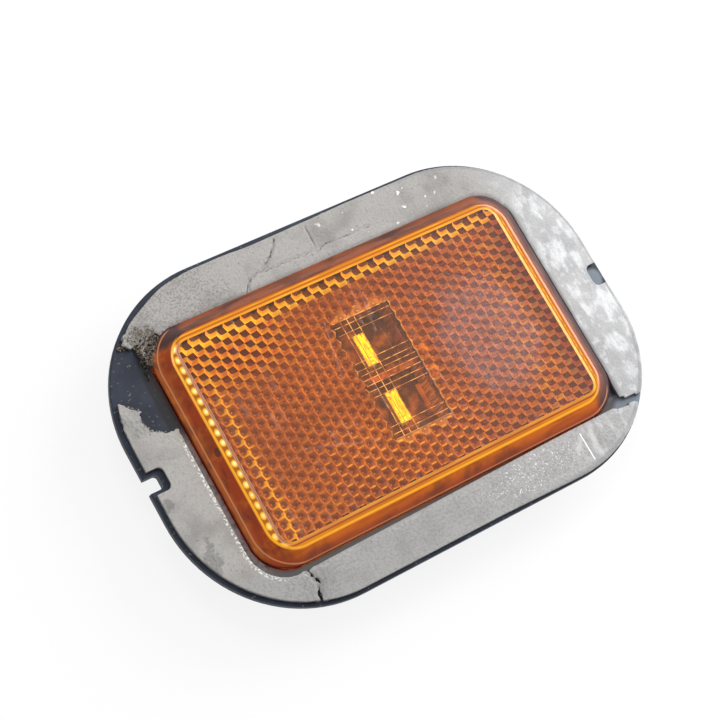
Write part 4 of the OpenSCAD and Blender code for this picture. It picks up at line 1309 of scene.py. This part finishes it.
housingLook = {
    "base": (0.008, 0.012, 0.026), "pale": (0.020, 0.030, 0.052), "dust": (0.26, 0.26, 0.27),
    "powder": (0.17, 0.18, 0.185), "ash": (0.09, 0.09, 0.09), "shadow": (0.003, 0.003, 0.004),
    "lensFoot": (50.7, 31.2, 9.0),                                        # mm: half sizes and corner radius
    "grimeAndShade": (0.05, 0.026, 0.02), "bare": (0.21, 0.25, 0.30), "litRimSide": (0.085, 0.093, 0.12),
}
housingPatches = {                                      # mm: middle and reach, then raggedness and grain
    "notch": ((62.5, -0.4), (2.2, 3.0), 0.6, 500.0),
    "slitEndSheen": ((52.0, -31.5), (8.5, 3.2), 0.5, 500.0),
}


def housingMaterial():
    look = housingLook
    made, tree = newMaterial("housingPlastic")
    place = objectPlace(tree)
    broad = noiseOf(place, 180.0, 4.0)
    color = blendColor(ramp(broad, 0.35, 0.8), look["base"], look["pale"])
    dust = spotsOf(place, 1100.0, 0.64, 0.06, 3.0)
    color = blendColor(dust * 0.45, color, look["dust"])
    gap = outlineOf(place, housingLook["lensFoot"])
    nearLens = ramp(gap, 0.0015, 0.003, 1.0, 0.0)
    parts = split(place)
    # A painted shadow on the flange close to the lens along its far half.
    lensShadow = ramp(gap, 0.0028, 0.0036, 1.0, 0.0) * ramp(parts[1], 0.002, 0.006)
    color = blendColor(lensShadow * 0.75, color, look["shadow"])
    leftEnd = ramp(parts[0], -0.05, -0.046, 1.0, 0.0)
    below = ramp(parts[1], 0.004, 0.01, 1.0, 0.0)
    powder = spotsOf(place, 700.0, 0.25, 0.3, 4.0)
    dusty = nearLens * leftEnd * (below * powder)
    color = blendColor(dusty * 0.85, color, look["powder"])
    # Where the tape is missing at the notch and at the slit's end, the bare plastic is painted pale
    # blue-grey: bare plastic with a painted reflection of the sky.
    bare = patchAt(place, *housingPatches["notch"])
    slitEndSheen = patchAt(place, *housingPatches["slitEndSheen"])
    color = blendColor(larger(bare, slitEndSheen) * 0.75, color, look["bare"])
    # Along the near side the groove between the lens and the tape is painted dark, grime and painted shade
    # together.
    nearSide = nearLens * ramp(parts[1], -0.03, -0.028, 1.0, 0.0)
    grimeAndShade = blendColor(ramp(parts[0], -0.02, 0.02), look["ash"], look["grimeAndShade"])
    color = blendColor(nearSide * 0.85, color, grimeAndShade)
    # The flange's walls on the right are painted lighter than its top, standing in for the light on them.
    up = split(valueOf(tree, "ShaderNodeNewGeometry", None, "Normal"))[2]
    side = ramp(up, 0.3, 0.8, 1.0, 0.0) * ramp(parts[0], -0.05, -0.01)
    color = blendColor(side * 0.8, color, look["litRimSide"])
    fine = noiseOf(place, 2600.0, 2.0)
    bump = bumpOf(fine, 0.2, 0.05)
    rough = dust * 0.25 + 0.5
    return finished(made, tree, {"Base Color": color, "Roughness": rough, "IOR": 1.4, "Normal": bump})


# What is inside

def plainSolid(name, color, second, scale, roughness, metallic=0.0, bumpDepth=0.02):
    made, tree = newMaterial(name)
    place = objectPlace(tree)
    cloud = noiseOf(place, scale, 4.0)
    tint = blendColor(ramp(cloud, 0.4, 0.65), color, second)
    bump = bumpOf(cloud, 0.4, bumpDepth)
    rough = cloud * 0.2 + (roughness - 0.1)
    return finished(made, tree, {
        "Base Color": tint, "Roughness": rough, "Metallic": metallic, "Normal": bump})


boardLook = {
    "lacquer": (0.12, 0.045, 0.028), "worn": (0.60, 0.26, 0.09), "bare": (0.85, 0.46, 0.12),
    "bareFromLamp": (10.1, 0.3, 0), "bareSize": (2.7, 2.9, 0.3),          # mm
}
shroudLook = {
    "dark": (0.15, 0.05, 0.03), "warm": (0.52, 0.21, 0.07), "streak": (0.20, 0.09, 0.05),
    "upperWall": (0.46, 0.22, 0.10), "lowerWall": (0.95, 0.62, 0.42),
}
chipLook = {"silver": (0.72, 0.73, 0.75), "black": (0.02, 0.02, 0.022), "tan": (0.32, 0.22, 0.12)}
brassLook = {
    "color": (0.75, 0.62, 0.34), "second": (0.80, 0.74, 0.60), "scale": 600.0,
    "roughness": 0.3, "metallic": 1.0,
}
filmLook = {"color": (0.80, 0.80, 0.78), "second": (0.70, 0.70, 0.68), "scale": 2500.0, "roughness": 0.85}


def boardMaterial():
    # Brown lacquer with a bare patch beside the lower lamp chip.
    made, tree = newMaterial("lacqueredBoard")
    place = objectPlace(tree)
    cloud = noiseOf(place, 260.0, 4.0)
    streak = noiseOf(vectorOf("MULTIPLY", place, (1.0, 0.15, 1.0)), 1800.0, 2.0)
    tint = blendColor(ramp(cloud, 0.45, 0.7), boardLook["lacquer"], boardLook["worn"])
    low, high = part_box("led_lower")
    shifted = vectorOf("SUBTRACT", place, (low + high) / 2 + Vector(boardLook["bareFromLamp"]) * mm)
    bare = mathOf("LESS_THAN", outlineOf(shifted, boardLook["bareSize"]), 0.0)
    tint = blendColor(bare * ramp(streak, 0.35, 0.6, 0.45, 1.0), tint, boardLook["bare"])
    rough = cloud * 0.2 + 0.25
    return finished(made, tree, {"Base Color": tint, "Roughness": rough})


def shroudMaterial():
    # Brown plastic; the end walls of the two chambers are lit by the lamps, the lower one more.
    made, tree = newMaterial("shroudPlastic")
    place = objectPlace(tree)
    cloud = noiseOf(place, 420.0, 4.0)
    tint = blendColor(ramp(cloud, 0.4, 0.62), shroudLook["dark"], shroudLook["warm"])
    drawn = vectorOf("MULTIPLY", place, (1.0, 1.0, 0.1))
    streak = noiseOf(drawn, 1500.0, 3.0)
    y = split(place)[1]
    turn = split(valueOf(tree, "ShaderNodeNewGeometry", None, "Normal"))[0]
    wall = blendColor(mathOf("LESS_THAN", y, 0.0), shroudLook["upperWall"], shroudLook["lowerWall"])
    wall = blendColor(ramp(streak, 0.42, 0.62, 0.0, 0.7), wall, shroudLook["streak"])
    tint = blendColor(mathOf("LESS_THAN", turn, -0.6), tint, wall)
    return finished(made, tree, {"Base Color": tint, "Roughness": 0.5})


def chipMaterial(nodeName, color):
    # A ceramic block whose two ends along X are silvered.
    low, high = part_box(nodeName)
    made, tree = newMaterial("chip_" + nodeName)
    place = objectPlace(tree)
    x = split(place)[0]
    off = abs(x - (low.x + high.x) / 2)
    half = (high.x - low.x) / 2
    silver = mathOf("GREATER_THAN", off, half * 2 / 3 - 0.01 * mm)
    cloud = noiseOf(place, 3000.0, 3.0)
    body = blendColor(cloud, color, tuple(c * 1.6 for c in color))
    tint = blendColor(silver, body, chipLook["silver"])
    rough = cloud * 0.3 + 0.25
    return finished(made, tree, {"Base Color": tint, "Roughness": rough, "Metallic": silver})


lampLook = {
    "lip": 0.22, "depth": 0.45, "wobble": 0.9,                            # mm
    "cup": (0.80, 0.78, 0.70), "resin": (0.84, 0.74, 0.03), "resinDark": (0.50, 0.34, 0.02),
    "cut": (0.20, 0.10, 0.01), "glow": 1.35,
}


def lampMaterial(nodeName):
    # A white cup whose hollow is filled with yellow resin that glows with painted light, standing in for the
    # light the lens gathers onto it, with fine lines along it.
    low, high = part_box(nodeName)
    made, tree = newMaterial("lampChip_" + nodeName)
    place = objectPlace(tree)
    middle = (low + high) / 2
    reach = (high - low) / 2
    cloud = valueOf(tree, "ShaderNodeTexNoise", {"Vector": place, "Scale": 1500.0, "Detail": 2.0}, "Color")
    wobble = vectorOf("SUBTRACT", cloud, (0.5, 0.5, 0.5))
    wobble = vectorOf("MULTIPLY", wobble, (lampLook["wobble"] * mm, lampLook["wobble"] * mm, 0))
    off = vectorOf("ABSOLUTE", vectorOf("SUBTRACT", vectorOf("ADD", place, wobble), middle))
    x, y = split(off)[:2]
    lip = lampLook["lip"] * mm
    inside = mathOf("LESS_THAN", x, reach.x - lip) * mathOf("LESS_THAN", y, reach.y - lip)
    upper = mathOf("GREATER_THAN", split(place)[2], high.z - lampLook["depth"] * mm)
    resin = inside * upper
    along = vectorOf("MULTIPLY", place, (1.0, 0.12, 1.0))
    grain = noiseOf(along, 2600.0, 2.0)
    yellow = blendColor(ramp(grain, 0.42, 0.62), lampLook["resin"], lampLook["resinDark"])
    cut = noiseOf(vectorOf("MULTIPLY", place, (0.35, 1.0, 1.0)), 1500.0, 2.0)
    yellow = blendColor(ramp(cut, 0.6, 0.66, 0.0, 0.75), yellow, lampLook["cut"])
    tint = blendColor(resin, lampLook["cup"], yellow)
    glow = blendColor(resin, unlit, yellow)
    return finished(made, tree, {
        "Base Color": tint, "Roughness": 0.35, "Emission Color": glow, "Emission Strength": lampLook["glow"]})


def coat(nodeName, material):
    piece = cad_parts[nodeName]
    piece.data.materials.clear()
    piece.data.materials.append(material)


coat("housing", housingMaterial())
coat("circuit_board", boardMaterial())
coat("led_shroud", shroudMaterial())
for node in ("led_upper", "led_lower"):
    coat(node, lampMaterial(node))
for node in ("resistor_1", "resistor_2", "resistor_3", "resistor_4", "diode", "suppressor", "regulator"):
    coat(node, chipMaterial(node, chipLook["black"]))
for node in ("capacitor_1", "capacitor_2"):
    coat(node, chipMaterial(node, chipLook["tan"]))
for node in ("terminal_1", "terminal_2"):
    coat(node, plainSolid("tinnedBrass_" + node, **brassLook))
makeTornBits()
coat("vent_membrane", plainSolid("breatherFilm", **filmLook))
print("materials ready")
